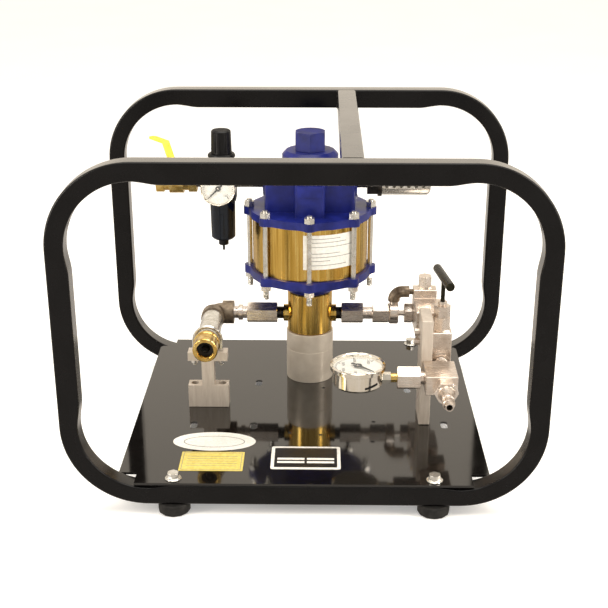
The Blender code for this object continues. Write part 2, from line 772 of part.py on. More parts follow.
def tube_loop(name, wall, corner, finish=None, matrix=None):
    """Loft the bent square tube, or its hollow where a wall is given."""
    form = bmesh.new()
    rings = []
    for outer, inward, squeeze in frame_stations():
        depth = TUBE_SIZE - BEND_SQUEEZE * squeeze - 2 * wall
        section = rounded_box(half(depth), half(TUBE_SIZE) - wall, corner, 1) if corner else [
            (half(depth), half(TUBE_SIZE) - wall),
            (-half(depth), half(TUBE_SIZE) - wall),
            (-half(depth), wall - half(TUBE_SIZE)),
            (half(depth), wall - half(TUBE_SIZE)),
        ]
        ring = []
        for inset, side in section:
            at = outer + inward * (wall + half(depth) + inset)
            ring.append(form.verts.new((at.x, side, at.y)))
        rings.append(ring)
    for ring, following in zip(rings, rings[1:] + rings[:1]):
        count = len(ring)
        for corner_at in range(count):
            beside = (corner_at + 1) % count
            form.faces.new((ring[corner_at], ring[beside], following[beside], following[corner_at]))
    return SHOP.add(name, bmesh_to_mesh(name, form), finish, matrix)


def bolt_places():
    return [(side_x * FOOT_OFFSET, side_y * RAIL_Y) for side_x in (-1, 1) for side_y in (-1, 1)]


def plate_bolt(x, y):
    """A flanged bolt from above the plate down through the tube and into the foot."""
    seat = PLATE_TOP + SEAT_GAP
    flange_top = seat + BOLT_FLANGE_HEIGHT
    profile = [
        (0, flange_top),
        (BOLT_FLANGE_RADIUS - BOLT_FLANGE_HEIGHT, flange_top),
        (BOLT_FLANGE_RADIUS, half(seat + flange_top)),
        (BOLT_FLANGE_RADIUS, seat),
        (BOLT_RADIUS, seat),
        (BOLT_RADIUS, BOLT_FLOOR_CLEARANCE),
        (0, BOLT_FLOOR_CLEARANCE),
    ]
    bolt = turned("bolt", profile, None, place(x, y, 0), SMALL_STEPS)
    head = prism("bolt_head", BOLT_HEAD_FLATS, half(seat + flange_top), flange_top + BOLT_HEAD_HEIGHT, None,
                 place(x, y, 0))
    return [bolt, head]


def make_frame(name, side):
    """A hollow bent tube with the two plate bolts that pass through its lower rail."""
    matrix = place(0, side * RAIL_Y, FOOT_HEIGHT + half(FRAME_HEIGHT))
    frame = tube_loop(name, 0, TUBE_CORNER, BLACK_PAINT, matrix)
    hollow = tube_loop(name + "_hollow", TUBE_WALL, 0, None, matrix)
    holes = []
    bolts = []
    for side_x in (-1, 1):
        at = place(side_x * FOOT_OFFSET, side * RAIL_Y, 0)
        holes.append(rod(name + "_hole", BOLT_RADIUS + BOLT_CLEARANCE, FOOT_HEIGHT - OVERRUN,
                         FOOT_HEIGHT + half(TUBE_SIZE), None, at))
        bolts += plate_bolt(side_x * FOOT_OFFSET, side * RAIL_Y)
    cut(frame, hollow, *holes)
    return clean_joins(join(frame, *bolts))


def make_crossbar():
    reach = RAIL_Y - half(TUBE_SIZE) - SEAT_GAP
    inside = half(TUBE_SIZE) - CROSSBAR_WALL
    loops = [rounded_box(half(TUBE_SIZE), half(TUBE_SIZE), TUBE_CORNER),
             rounded_box(inside, inside, CROSSBAR_WALL)]
    matrix = place(CROSSBAR_OFFSET, 0, CAGE_TOP - half(TUBE_SIZE), "Y")
    return outline("top_crossbar", loops, -reach, reach, BLACK_PAINT, matrix)


def shifted(loop, x, y):
    return [(x + point[0], y + point[1]) for point in loop]


def circle(x, y, radius, steps=TINY_STEPS):
    return arc(x, y, radius, 0, 2 * math.pi, steps)[:-1]


def pedestal_screw_places():
    angles = [math.pi / 2 + 2 * math.pi * turn / 3 for turn in range(3)]
    return [(PUMP_X + PEDESTAL_SCREW_CIRCLE * math.cos(a),
             PUMP_Y + PEDESTAL_SCREW_CIRCLE * math.sin(a)) for a in angles]


def bracket_screw_places():
    return [(INLET_X + side * half(BRACKET_SCREW_SPACING), BRACKET_Y) for side in (-1, 1)]


def support_screw_places():
    middle_x = SUPPORT_X + half(SUPPORT_THICKNESS)
    middle_y = SUPPORT_FRONT + half(SUPPORT_DEPTH)
    return [(middle_x, middle_y + side * half(SUPPORT_SCREW_SPACING)) for side in (-1, 1)]


def make_plate():
    half_x = half(PLATE_LENGTH)
    half_y = half(PLATE_DEPTH)
    inner_x = half_x - NOTCH_LENGTH
    inner_y = half_y - NOTCH_DEPTH
    edge = []
    for side_x, side_y in ((1, 1), (-1, 1), (-1, -1), (1, -1)):
        corner = [(half_x, inner_y), (inner_x, inner_y), (inner_x, half_y)]
        if side_x != side_y:
            corner.reverse()
        edge += [(side_x * x, side_y * y) for x, y in corner]
    loops = [edge]
    for share_x, share_y in SLOT_CENTRE_SHARES:
        slot = rounded_box(half(SLOT_WIDTH), half(SLOT_LENGTH), half(SLOT_WIDTH) - SEAT_GAP)
        loops.append(shifted(slot, share_x * half_x, share_y * half_y))
    for share_x, share_y in HOLE_CENTRE_SHARES:
        loops.append(circle(share_x * half_x, share_y * half_y, SPARE_HOLE_RADIUS))
    for x, y in bolt_places():
        loops.append(circle(x, y, BOLT_RADIUS + BOLT_CLEARANCE, SMALL_STEPS))
    for x, y in pedestal_screw_places() + support_screw_places():
        loops.append(circle(x, y, SCREW_RADIUS + SEAT_GAP))
    plate = outline("base_plate", loops, PLATE_BOTTOM, PLATE_TOP, PLATE_PAINT)
    join(plate, *[cap_screw(place(x, y, PLATE_BOTTOM + SEAT_GAP)) for x, y in bracket_screw_places()])
    return clean_joins(plate)


def make_foot(name, x, y):
    top = FOOT_HEIGHT - SEAT_GAP
    bore = BOLT_RADIUS + SEAT_GAP
    blind = BOLT_FLOOR_CLEARANCE - SEAT_GAP
    profile = [
        (bore, top),
        (FOOT_TOP_RADIUS, top),
        (FOOT_RADIUS, top - FOOT_EDGE),
        (FOOT_RADIUS, FOOT_EDGE),
        (FOOT_RADIUS - FOOT_EDGE, 0),
        (0, 0),
        (0, blind),
        (bore, blind),
    ]
    return turned(name, profile, RUBBER, place(x, y, 0), SMALL_STEPS)


def cap_screw(matrix):
    """A socket head screw along local Z from its thread's end at 0 to its head."""
    head_top = SCREW_LENGTH + SCREW_HEAD_HEIGHT
    profile = [
        (0, head_top),
        (SCREW_HEAD_RADIUS, head_top),
        (SCREW_HEAD_RADIUS, SCREW_LENGTH),
        (SCREW_RADIUS, SCREW_LENGTH),
        (SCREW_RADIUS, 0),
        (0, 0),
    ]
    screw = turned("screw", profile, None, matrix, TINY_STEPS)
    socket = prism("screw_socket", SCREW_SOCKET_FLATS, head_top - SCREW_SOCKET_DEPTH, head_top + OVERRUN,
                   None, matrix)
    return cut(screw, socket)


def screws_from_below(places):
    return [cap_screw(place(x, y, PLATE_BOTTOM - SEAT_GAP + SCREW_LENGTH, "-Z")) for x, y in places]


# Pump and air motor


def pump_frame():
    return place(PUMP_X, PUMP_Y, 0)


def make_pedestal():
    top = PEDESTAL_BASE + PEDESTAL_HEIGHT
    profile = [(0, top), (PEDESTAL_RADIUS - PEDESTAL_GROOVE, top), (PEDESTAL_RADIUS, top - PEDESTAL_GROOVE)]
    for share in PEDESTAL_RING_SHARES:
        ring_at = PEDESTAL_BASE + PEDESTAL_HEIGHT * share
        profile += [
            (PEDESTAL_RADIUS, ring_at + PEDESTAL_GROOVE_WIDTH),
            (PEDESTAL_RADIUS - PEDESTAL_GROOVE, ring_at + half(PEDESTAL_GROOVE_WIDTH)),
            (PEDESTAL_RADIUS, ring_at),
        ]
    profile += [(PEDESTAL_RADIUS, PEDESTAL_BASE), (0, PEDESTAL_BASE)]
    pedestal = turned("pump_pedestal", profile, GREY_ALUMINIUM, pump_frame(), LARGE_STEPS)
    return join(pedestal, *screws_from_below(pedestal_screw_places()))


def nipple_socket(name, x, y, z, axis, depth):
    """A cutter for a pipe socket that opens at a face and runs inwards along the axis."""
    return rod(name, NIPPLE_RADIUS + SEAT_GAP, -OVERRUN, depth, None, place(x, y, z, axis), SMALL_STEPS)


def socket_depth(visible):
    return half(NIPPLE_LENGTH - visible) + SEAT_GAP


def make_hydraulic_body():
    profile = [
        (0, BODY_TOP),
        (BODY_RADIUS - BODY_EDGE, BODY_TOP),
        (BODY_RADIUS, BODY_TOP - BODY_EDGE),
        (BODY_RADIUS, BODY_BASE + BODY_EDGE),
        (BODY_RADIUS - BODY_EDGE, BODY_BASE),
        (0, BODY_BASE),
    ]
    body = turned("hydraulic_body", profile, GOLD, pump_frame(), LARGE_STEPS)
    collar = rod("port_collar", PORT_COLLAR_RADIUS, -PORT_COLLAR_REACH, PORT_COLLAR_REACH, None,
                 place(PUMP_X, PUMP_Y, WATER_LINE, "X"), SMALL_STEPS)
    bore_profile = [
        (0, BODY_TOP + OVERRUN),
        (PACKING_RADIUS + SEAT_GAP, BODY_TOP + OVERRUN),
        (PACKING_RADIUS + SEAT_GAP, PACKING_BASE - SEAT_GAP),
        (CHAMBER_RADIUS, PACKING_BASE - SEAT_GAP),
        (CHAMBER_RADIUS, BODY_BASE + CHAMBER_FLOOR),
        (0, BODY_BASE + CHAMBER_FLOOR),
    ]
    bore = turned("body_bore", bore_profile, None, pump_frame())
    reach = PORT_COLLAR_REACH - OVERRUN
    passage = rod("water_passage", WATER_PASSAGE_RADIUS, -reach, reach, None,
                  place(PUMP_X, PUMP_Y, WATER_LINE, "X"), TINY_STEPS)
    sockets = [
        nipple_socket("left_port", PUMP_X - PORT_COLLAR_REACH, PUMP_Y, WATER_LINE, "X",
                      socket_depth(INLET_CHECK_GAP)),
        nipple_socket("right_port", PUMP_X + PORT_COLLAR_REACH, PUMP_Y, WATER_LINE, "-X",
                      socket_depth(OUTLET_CHECK_GAP)),
    ]
    join(body, collar)
    return clean_joins(cut(body, bore, passage, *sockets))


def make_plunger():
    top = PISTON_BASE + PISTON_CROWN - SEAT_GAP
    return rod("plunger", PLUNGER_RADIUS, PLUNGER_BASE, top, STEEL, pump_frame())


def make_packing():
    profile = ring_profile(PACKING_RADIUS, PLUNGER_RADIUS + SEAT_GAP, PACKING_BASE,
                           PACKING_BASE + PACKING_HEIGHT)
    return turned("gland_packing", profile, RUBBER, pump_frame(), SMALL_STEPS)


def lobed_loop():
    """The flange outline: a round rim with filleted lobes for the tie rods."""
    rim_centre = RIM_RADIUS + LOBE_FILLET_RADIUS
    reach = LOBE_RADIUS + LOBE_FILLET_RADIUS
    swing = math.acos((rim_centre**2 + LOBE_CIRCLE_RADIUS**2 - reach**2)
                      / (2 * rim_centre * LOBE_CIRCLE_RADIUS))
    corner = math.acos((rim_centre**2 + reach**2 - LOBE_CIRCLE_RADIUS**2) / (2 * rim_centre * reach))
    opening = math.pi - swing - corner
    loop = []
    for lobe in range(LOBE_COUNT):
        middle = -math.pi / 2 + 2 * math.pi * lobe / LOBE_COUNT
        lobe_x = LOBE_CIRCLE_RADIUS * math.cos(middle)
        lobe_y = LOBE_CIRCLE_RADIUS * math.sin(middle)
        loop += arc(lobe_x, lobe_y, LOBE_RADIUS, middle - math.pi + opening, middle + math.pi - opening,
                    LOBE_STEPS)
        after = middle + swing
        fillet_x = rim_centre * math.cos(after)
        fillet_y = rim_centre * math.sin(after)
        loop += arc(fillet_x, fillet_y, LOBE_FILLET_RADIUS, after + math.pi + corner, after + math.pi, 1)[1:]
        following = middle + 2 * math.pi / LOBE_COUNT - swing
        loop += arc(0, 0, RIM_RADIUS, after, following, 2)[1:]
        fillet_x = rim_centre * math.cos(following)
        fillet_y = rim_centre * math.sin(following)
        loop += arc(fillet_x, fillet_y, LOBE_FILLET_RADIUS, following + math.pi, following + math.pi - corner,
                    1)[1:-1]
    return loop


def rod_places():
    angles = [-math.pi / 2 + 2 * math.pi * lobe / LOBE_COUNT for lobe in range(LOBE_COUNT)]
    return [(LOBE_CIRCLE_RADIUS * math.cos(a), LOBE_CIRCLE_RADIUS * math.sin(a)) for a in angles]


def flange_loops():
    return [lobed_loop()] + [circle(x, y, TIE_ROD_RADIUS + SEAT_GAP) for x, y in rod_places()]


def make_lower_flange():
    flange = outline("lower_flange", [lobed_loop()], LOWER_FLANGE_BASE, LOWER_FLANGE_TOP, BLUE_PAINT,
                     pump_frame())
    spigot = PACKING_BASE + PACKING_HEIGHT + SEAT_GAP
    round_steps = arc(NECK_RADIUS - NECK_ROUND, NECK_BASE + NECK_ROUND, NECK_ROUND, 0, -math.pi / 2, 4)
    neck_profile = [(0, LOWER_FLANGE_TOP - OVERRUN), (NECK_RADIUS, LOWER_FLANGE_TOP - OVERRUN)]
    neck_profile += round_steps + [
        (PACKING_RADIUS, NECK_BASE),
        (PACKING_RADIUS, spigot),
        (0, spigot),
    ]
    neck = turned("flange_neck", neck_profile, None, pump_frame())
    register = rod("flange_register", BARREL_FIT, LOWER_FLANGE_BASE + OVERRUN,
                   LOWER_FLANGE_TOP + REGISTER_HEIGHT,
                   None, pump_frame(), LARGE_STEPS)
    bore = rod("flange_bore", PLUNGER_RADIUS + SEAT_GAP, spigot - OVERRUN, PISTON_TOP, None, pump_frame())
    join(flange, neck, register, *tie_rods())
    return clean_joins(cut(flange, bore))


def make_barrel():
    profile = ring_profile(BARREL_RADIUS, BARREL_BORE, BARREL_BASE, BARREL_BASE + BARREL_LENGTH)
    return turned("air_barrel", profile, GOLD, pump_frame(), LARGE_STEPS)


def make_piston():
    outer = BARREL_BORE - PISTON_RUNNING_GAP
    groove = outer - SEAL_DEPTH
    seal_base = PISTON_BASE + SEAL_RISE - SEAT_GAP
    seal_top = PISTON_BASE + SEAL_RISE + SEAL_HEIGHT + SEAT_GAP
    crown_top = PISTON_BASE + PISTON_CROWN
    profile = [
        (outer - PISTON_SKIRT_WALL, PISTON_TOP),
        (outer, PISTON_TOP),
        (outer, seal_top),
        (groove, seal_top),
        (groove, seal_base),
        (outer, seal_base),
        (outer, PISTON_BASE),
        (PLUNGER_RADIUS + SEAT_GAP, PISTON_BASE),
        (PLUNGER_RADIUS + SEAT_GAP, crown_top),
        (outer - PISTON_SKIRT_WALL - SEAL_DEPTH, crown_top),
        (outer - PISTON_SKIRT_WALL - SEAL_DEPTH, seal_top),
    ]
    return turned("air_piston", profile, GREY_ALUMINIUM, pump_frame(), LARGE_STEPS)


def make_piston_seal():
    outer = BARREL_BORE - SEAT_GAP
    inner = BARREL_BORE - PISTON_RUNNING_GAP - SEAL_DEPTH + SEAT_GAP
    base = PISTON_BASE + SEAL_RISE
    return turned("piston_seal", ring_profile(outer, inner, base, base + SEAL_HEIGHT), RUBBER, pump_frame(),
                  LARGE_STEPS)


def tie_rods():
    """The eight rods with a nut at each end; they pass freely through the upper flange."""
    made = []
    for x, y in rod_places():
        at = pump_frame() @ Matrix.Translation((x, y, 0))
        made.append(rod("tie_rod", TIE_ROD_RADIUS, LOWER_FLANGE_BASE - ROD_BELOW_FLANGE,
                        UPPER_FLANGE_TOP + ROD_ABOVE_FLANGE, None, at, TINY_STEPS))
        for base in (UPPER_FLANGE_TOP + SEAT_GAP, LOWER_FLANGE_BASE - NUT_HEIGHT):
            made.append(prism("rod_nut", NUT_FLATS, base, base + NUT_HEIGHT + SEAT_GAP, None, at))
    return made


def make_head():
    head = outline("air_head", flange_loops(), UPPER_FLANGE_BASE, UPPER_FLANGE_TOP, BLUE_PAINT, pump_frame())
    middle = UPPER_FLANGE_TOP - half(UPPER_FLANGE_THICKNESS)
    block = outline("head_block", [rounded_box(HEAD_HALF_WIDTH, HEAD_HALF_DEPTH, HEAD_CORNER)], middle,
                    COLLAR_BASE,
                    None, pump_frame())
    boss = outline("head_boss", [rounded_box(BOSS_HALF_WIDTH, BOSS_REACH, BOSS_CORNER)],
                   middle, COLLAR_BASE - FLANGE_EDGE, None, pump_frame())
    pad_low = AIR_LINE - half(PAD_HEIGHT)
    pad = box("head_pad", (-PAD_HALF_WIDTH, -BOSS_REACH - PAD_THICKNESS, pad_low),
              (PAD_HALF_WIDTH, BOSS_REACH + PAD_THICKNESS, pad_low + PAD_HEIGHT), None, pump_frame())
    ports = rod("head_ports", AIR_PORT_RADIUS, -AIR_PORT_REACH, AIR_PORT_REACH, None,
                place(PUMP_X, PUMP_Y, AIR_LINE, "X"), MEDIUM_STEPS)
    collar_profile = [
        (0, COLLAR_TOP),
        (COLLAR_RADIUS - COLLAR_CHAMFER, COLLAR_TOP),
        (COLLAR_RADIUS, COLLAR_TOP - COLLAR_CHAMFER),
        (COLLAR_RADIUS, middle),
        (0, middle),
    ]
    collar = turned("head_collar", collar_profile, None, pump_frame(), MEDIUM_STEPS)
    register = rod("head_register", BARREL_FIT, UPPER_FLANGE_BASE - REGISTER_HEIGHT, middle, None,
                   pump_frame(), LARGE_STEPS)
    spigot = CAP_SPIGOT_RADIUS + SEAT_GAP
    spool = SPOOL_RADIUS + SEAT_GAP
    ledge = UPPER_FLANGE_BASE + SPOOL_LEDGE
    bore_profile = [
        (0, COLLAR_TOP + OVERRUN),
        (spigot, COLLAR_TOP + OVERRUN),
        (spigot, CAP_BASE - CAP_SPIGOT_LENGTH - SEAT_GAP),
        (spool, CAP_BASE - CAP_SPIGOT_LENGTH - SEAT_GAP),
        (spool, ledge),
        (SPOOL_BORE_RADIUS, ledge),
        (SPOOL_BORE_RADIUS, PISTON_TOP),
        (0, PISTON_TOP),
    ]
    bore = turned("head_bore", bore_profile, None, pump_frame(), SMALL_STEPS)
    reach = AIR_PORT_REACH - OVERRUN
    passage = rod("air_passage", AIR_PASSAGE_RADIUS, -reach, reach, None,
                  place(PUMP_X, PUMP_Y, AIR_LINE, "X"), TINY_STEPS)
    sockets = [
        nipple_socket("air_in_port", PUMP_X - AIR_PORT_REACH, PUMP_Y, AIR_LINE, "X",
                      half(LONG_NIPPLE_LENGTH - REGULATOR_NIPPLE_GAP) + SEAT_GAP),
        nipple_socket("air_out_port", PUMP_X + AIR_PORT_REACH, PUMP_Y, AIR_LINE, "-X",
                      socket_depth(EXHAUST_GAP)),
    ]
    join(head, register, block, boss, pad, ports, collar)
    return clean_joins(cut(head, bore, passage, *sockets))


def make_cap():
    radius = half(CAP_ACROSS_CORNERS)
    flats = CAP_ACROSS_CORNERS * math.cos(math.pi / HEX_SIDES)
    cap = prism("valve_cap", flats, CAP_BASE, CAP_BASE + CAP_HEIGHT, BLUE_PAINT, pump_frame())
    chamfer_profile = [
        (0, CAP_BASE + CAP_HEIGHT),
        (radius - CAP_CHAMFER, CAP_BASE + CAP_HEIGHT),
        (radius + CAP_CHAMFER, CAP_BASE + CAP_HEIGHT - CAP_CHAMFER),
        (radius + CAP_CHAMFER, CAP_BASE - OVERRUN),
        (0, CAP_BASE - OVERRUN),
    ]
    chamfer = turned("cap_chamfer", chamfer_profile, None, pump_frame(), MEDIUM_STEPS)
    spigot = rod("cap_spigot", CAP_SPIGOT_RADIUS, CAP_BASE - CAP_SPIGOT_LENGTH, CAP_BASE + OVERRUN, None,
                 pump_frame())
    trim(cap, chamfer)
    return join(cap, spigot)


def make_spool():
    base = UPPER_FLANGE_BASE + SPOOL_LEDGE + SEAT_GAP
    top = base + SPOOL_LENGTH
    profile = [
        (0, top),
        (SPOOL_RADIUS, top),
        (SPOOL_RADIUS, top - SPOOL_LAND),
        (SPOOL_WAIST_RADIUS, top - SPOOL_LAND),
        (SPOOL_WAIST_RADIUS, base + SPOOL_LAND),
        (SPOOL_RADIUS, base + SPOOL_LAND),
        (SPOOL_RADIUS, base),
        (0, base),
    ]
    return turned("spool_valve", profile, STEEL, pump_frame(), SMALL_STEPS)


# Air supply and exhaust


def nipple(name, length, matrix, finish):
    """A piece of pipe, centred on its middle along local Z."""
    return turned(name, ring_profile(NIPPLE_RADIUS, NIPPLE_BORE, -half(length), half(length)), finish, matrix,
                  SMALL_STEPS)


def fixed_nipple(gap, matrix):
    """A nipple that stands out of a piece's face, at 0, to the end of its thread in the next one."""
    engaged = half(NIPPLE_LENGTH - gap)
    return rod("fixed_nipple", NIPPLE_RADIUS, -engaged, gap + engaged, None, matrix)


def nipple_passage(gap, depth, matrix):
    """The bore of such a nipple, from a depth inside its piece to its open end."""
    return rod("nipple_passage", NIPPLE_BORE, -depth, half(NIPPLE_LENGTH + gap) + OVERRUN, None, matrix,
               TINY_STEPS)


def make_air_nipples():
    nipple("regulator_nipple", LONG_NIPPLE_LENGTH,
           place(HEAD_LEFT - half(REGULATOR_NIPPLE_GAP), PUMP_Y, AIR_LINE, "X"), DARK_STEEL)
    nipple("supply_nipple", NIPPLE_LENGTH, place(REGULATOR_LEFT - half(SUPPLY_GAP), PUMP_Y, AIR_LINE, "X"),
           DARK_STEEL)


def make_muffler():
    """The muffler about its own axis, with rows of windows into its hollow."""
    hex_end = MUFFLER_HEX_LENGTH
    ring_end = hex_end + MUFFLER_RING_LENGTH
    shell_end = ring_end + MUFFLER_LENGTH
    far_end = shell_end + MUFFLER_END_RING
    matrix = place(HEAD_RIGHT + EXHAUST_GAP, PUMP_Y, AIR_LINE, "X")
    profile = [
        (0, far_end),
        (MUFFLER_END_RADIUS - MUFFLER_WALL, far_end),
        (MUFFLER_END_RADIUS, far_end - half(MUFFLER_END_RING)),
        (MUFFLER_END_RADIUS, shell_end),
        (MUFFLER_RADIUS, shell_end),
        (MUFFLER_RADIUS, ring_end),
        (MUFFLER_RING_RADIUS, ring_end),
        (MUFFLER_RING_RADIUS, hex_end),
        (0, hex_end),
    ]
    muffler = turned("exhaust_muffler", profile, STEEL, matrix)
    base = prism("muffler_hex", 2 * MUFFLER_HEX_RADIUS * math.cos(math.pi / HEX_SIDES), 0,
                 hex_end + OVERRUN, None, matrix)
    inside = [
        (0, shell_end - MUFFLER_WALL),
        (MUFFLER_RADIUS - MUFFLER_WALL, shell_end - MUFFLER_WALL),
        (MUFFLER_RADIUS - MUFFLER_WALL, ring_end),
        (NIPPLE_BORE, hex_end),
        (0, hex_end),
    ]
    hollow = turned("muffler_hollow", inside, None, matrix, SMALL_STEPS)
    inlet = matrix @ AXES["-Z"]
    join(muffler, base, fixed_nipple(EXHAUST_GAP, inlet))
    cut(muffler, hollow, nipple_passage(EXHAUST_GAP, hex_end + OVERRUN, inlet))
    first = half(ring_end + shell_end) - half(WINDOW_PITCH * (WINDOW_COUNT - 1))
    for row in range(WINDOW_ROWS // 2):
        turn = 2 * math.pi * row / WINDOW_ROWS + math.pi / MEDIUM_STEPS
        for window in range(WINDOW_COUNT):
            along = matrix @ Matrix.Translation((0, 0,
                                                 first + window * WINDOW_PITCH)) @ Matrix.Rotation(turn, 4,
                                                                                                   "Z")
            cut(muffler, rod("window", WINDOW_RADIUS, -MUFFLER_RING_RADIUS, MUFFLER_RING_RADIUS, None,
                             along @ AXES["X"], WINDOW_STEPS))
    return clean_joins(muffler)


def regulator_frame():
    return place(REGULATOR_X, PUMP_Y, AIR_LINE)


def make_regulator():
    low = -REGULATOR_BELOW_LINE
    high = REGULATOR_ABOVE_LINE
    loop = rounded_box(REGULATOR_HALF_WIDTH, REGULATOR_HALF_DEPTH, REGULATOR_CORNER)
    body = outline("regulator_body", [loop], low, high, BLACK_PLASTIC, regulator_frame())
    top = high + BONNET_HEIGHT
    bonnet_profile = [
        (0, top),
        (BONNET_RADIUS, top),
        (BONNET_TOP_RADIUS, top - half(BONNET_RIM)),
        (BONNET_TOP_RADIUS, top - BONNET_RIM),
        (BONNET_RADIUS, top - BONNET_RIM),
        (BONNET_RADIUS, high - OVERRUN),
        (0, high - OVERRUN),
    ]
    bonnet = turned("regulator_bonnet", bonnet_profile, None, regulator_frame())
    adjuster = rod("adjuster_bore", ADJUSTER_RADIUS + SEAT_GAP, top - ADJUSTER_DEPTH - SEAT_GAP,
                   top + OVERRUN,
                   None, regulator_frame())
    bowl_seat = rod("bowl_seat", BOWL_NECK_RADIUS + SEAT_GAP, low - OVERRUN,
                    low + BOWL_NECK_HEIGHT + SEAT_GAP,
                    None, regulator_frame(), MEDIUM_STEPS)
    gauge_seat = rod("gauge_seat", GAUGE_STEM_RADIUS + SEAT_GAP, -OVERRUN, GAUGE_STEM_SEAT + SEAT_GAP, None,
                     place(REGULATOR_X + DIAL_GAUGE_SHIFT, PUMP_Y - REGULATOR_HALF_DEPTH, AIR_LINE, "Y"),
                     TINY_STEPS)
    sockets = [
        nipple_socket("regulator_out", REGULATOR_RIGHT, PUMP_Y, AIR_LINE, "-X",
                      half(LONG_NIPPLE_LENGTH - REGULATOR_NIPPLE_GAP) + SEAT_GAP),
        nipple_socket("regulator_in", REGULATOR_LEFT, PUMP_Y, AIR_LINE, "X", socket_depth(SUPPLY_GAP)),
    ]
    join(body, bonnet)
    return cut(body, adjuster, bowl_seat, gauge_seat, *sockets)


def make_adjuster():
    seat = REGULATOR_ABOVE_LINE + BONNET_HEIGHT
    shoulder = seat + SEAT_GAP
    profile = [
        (0, shoulder + ADJUSTER_RISE),
        (ADJUSTER_RADIUS, shoulder + ADJUSTER_RISE),
        (ADJUSTER_RADIUS, shoulder + ADJUSTER_HEAD_HEIGHT),
        (ADJUSTER_HEAD_RADIUS, shoulder + ADJUSTER_HEAD_HEIGHT),
        (ADJUSTER_HEAD_RADIUS, shoulder),
        (ADJUSTER_RADIUS, shoulder),
        (ADJUSTER_RADIUS, seat - ADJUSTER_DEPTH),
        (0, seat - ADJUSTER_DEPTH),
    ]
    return turned("adjusting_screw", profile, STEEL, regulator_frame(), SMALL_STEPS)


def make_knob():
    base = REGULATOR_ABOVE_LINE + BONNET_HEIGHT + SEAT_GAP
    top = base + KNOB_HEIGHT
    profile = [
        (0, top),
        (KNOB_TOP_RADIUS - KNOB_EDGE, top),
        (KNOB_TOP_RADIUS, top - KNOB_EDGE),
        (KNOB_RADIUS, base),
        (0, base),
    ]
    knob = turned("regulator_knob", profile, BLACK_PLASTIC, regulator_frame(), MEDIUM_STEPS)
    head = ADJUSTER_HEAD_RADIUS + SEAT_GAP
    stem = ADJUSTER_RADIUS + SEAT_GAP
    socket_profile = [
        (0, base + ADJUSTER_RISE + 2 * SEAT_GAP),
        (stem, base + ADJUSTER_RISE + 2 * SEAT_GAP),
        (stem, base + ADJUSTER_HEAD_HEIGHT + SEAT_GAP),
        (head, base + ADJUSTER_HEAD_HEIGHT + SEAT_GAP),
        (head, base - OVERRUN),
        (0, base - OVERRUN),
    ]
    cut(knob, turned("knob_socket", socket_profile, None, regulator_frame(), SMALL_STEPS))
    for flute in range(KNOB_FLUTES):
        angle = 2 * math.pi * flute / KNOB_FLUTES
        matrix = regulator_frame() @ Matrix.Translation((KNOB_RADIUS * math.cos(angle),
                                                         KNOB_RADIUS * math.sin(angle), 0))
        cut(knob, rod("knob_flute", KNOB_FLUTE_RADIUS, base + KNOB_EDGE, top + OVERRUN, None, matrix,
                      FLUTE_STEPS))
    return knob


def make_bowl():
    top = -REGULATOR_BELOW_LINE - SEAT_GAP
    foot = top - BOWL_HEIGHT
    neck = top + BOWL_NECK_HEIGHT
    drain = DRAIN_STEM_RADIUS + SEAT_GAP
    profile = [
        (BOWL_NECK_RADIUS, neck),
        (BOWL_NECK_RADIUS, top),
        (BOWL_RADIUS, top),
        (BOWL_FOOT_RADIUS, foot + BOWL_ROUND),
        (BOWL_FOOT_RADIUS - BOWL_ROUND, foot),
        (drain, foot),
        (drain, foot + BOWL_WALL),
        (BOWL_FOOT_RADIUS - BOWL_ROUND, foot + BOWL_WALL),
        (BOWL_FOOT_RADIUS - BOWL_WALL, foot + BOWL_ROUND + BOWL_WALL),
        (BOWL_NECK_RADIUS - BOWL_WALL, top),
        (BOWL_NECK_RADIUS - BOWL_WALL, neck),
    ]
    bowl = turned("filter_bowl", profile, BOWL_PLASTIC, regulator_frame())
    sight_low = foot + SIGHT_RISE
    sight = box("sight_strip", (-half(SIGHT_WIDTH), -BOWL_RADIUS - SIGHT_DEPTH, sight_low),
                (half(SIGHT_WIDTH), -BOWL_RADIUS + BOWL_WALL, sight_low + SIGHT_HEIGHT), None,
                regulator_frame())
    return join(bowl, sight)


def make_drain():
    foot = -REGULATOR_BELOW_LINE - SEAT_GAP - BOWL_HEIGHT
    top = foot - SEAT_GAP
    profile = [
        (0, foot + DRAIN_STEM_LENGTH),
        (DRAIN_STEM_RADIUS, foot + DRAIN_STEM_LENGTH),
        (DRAIN_STEM_RADIUS, top),
        (DRAIN_RADIUS, top),
        (DRAIN_RADIUS, top - DRAIN_HEIGHT),
        (DRAIN_TIP_RADIUS, top - DRAIN_HEIGHT),
        (DRAIN_TIP_RADIUS, top - DRAIN_HEIGHT - DRAIN_TIP_LENGTH),
        (0, top - DRAIN_HEIGHT - DRAIN_TIP_LENGTH),
    ]
    return turned("drain_cock", profile, BLACK_PLASTIC, regulator_frame(), SMALL_STEPS)


def gauge_case(name, radius, depth, rim, recess, shaft, finish, matrix, stem):
    """A round case about local Z, open at its front end, with a dial floor and a pointer shaft."""
    profile = [
        (radius - half(rim), half(rim)),
        (radius, 0),
        (radius, -depth),
        (0, -depth),
        (0, -recess),
        (radius - rim, -recess),
        (radius - rim, 0),
    ]
    case = turned(name, profile, finish, matrix)
    return join(case, rod(name + "_shaft", shaft, -recess - rim, -half(recess), None, matrix, TINY_STEPS),
                stem)


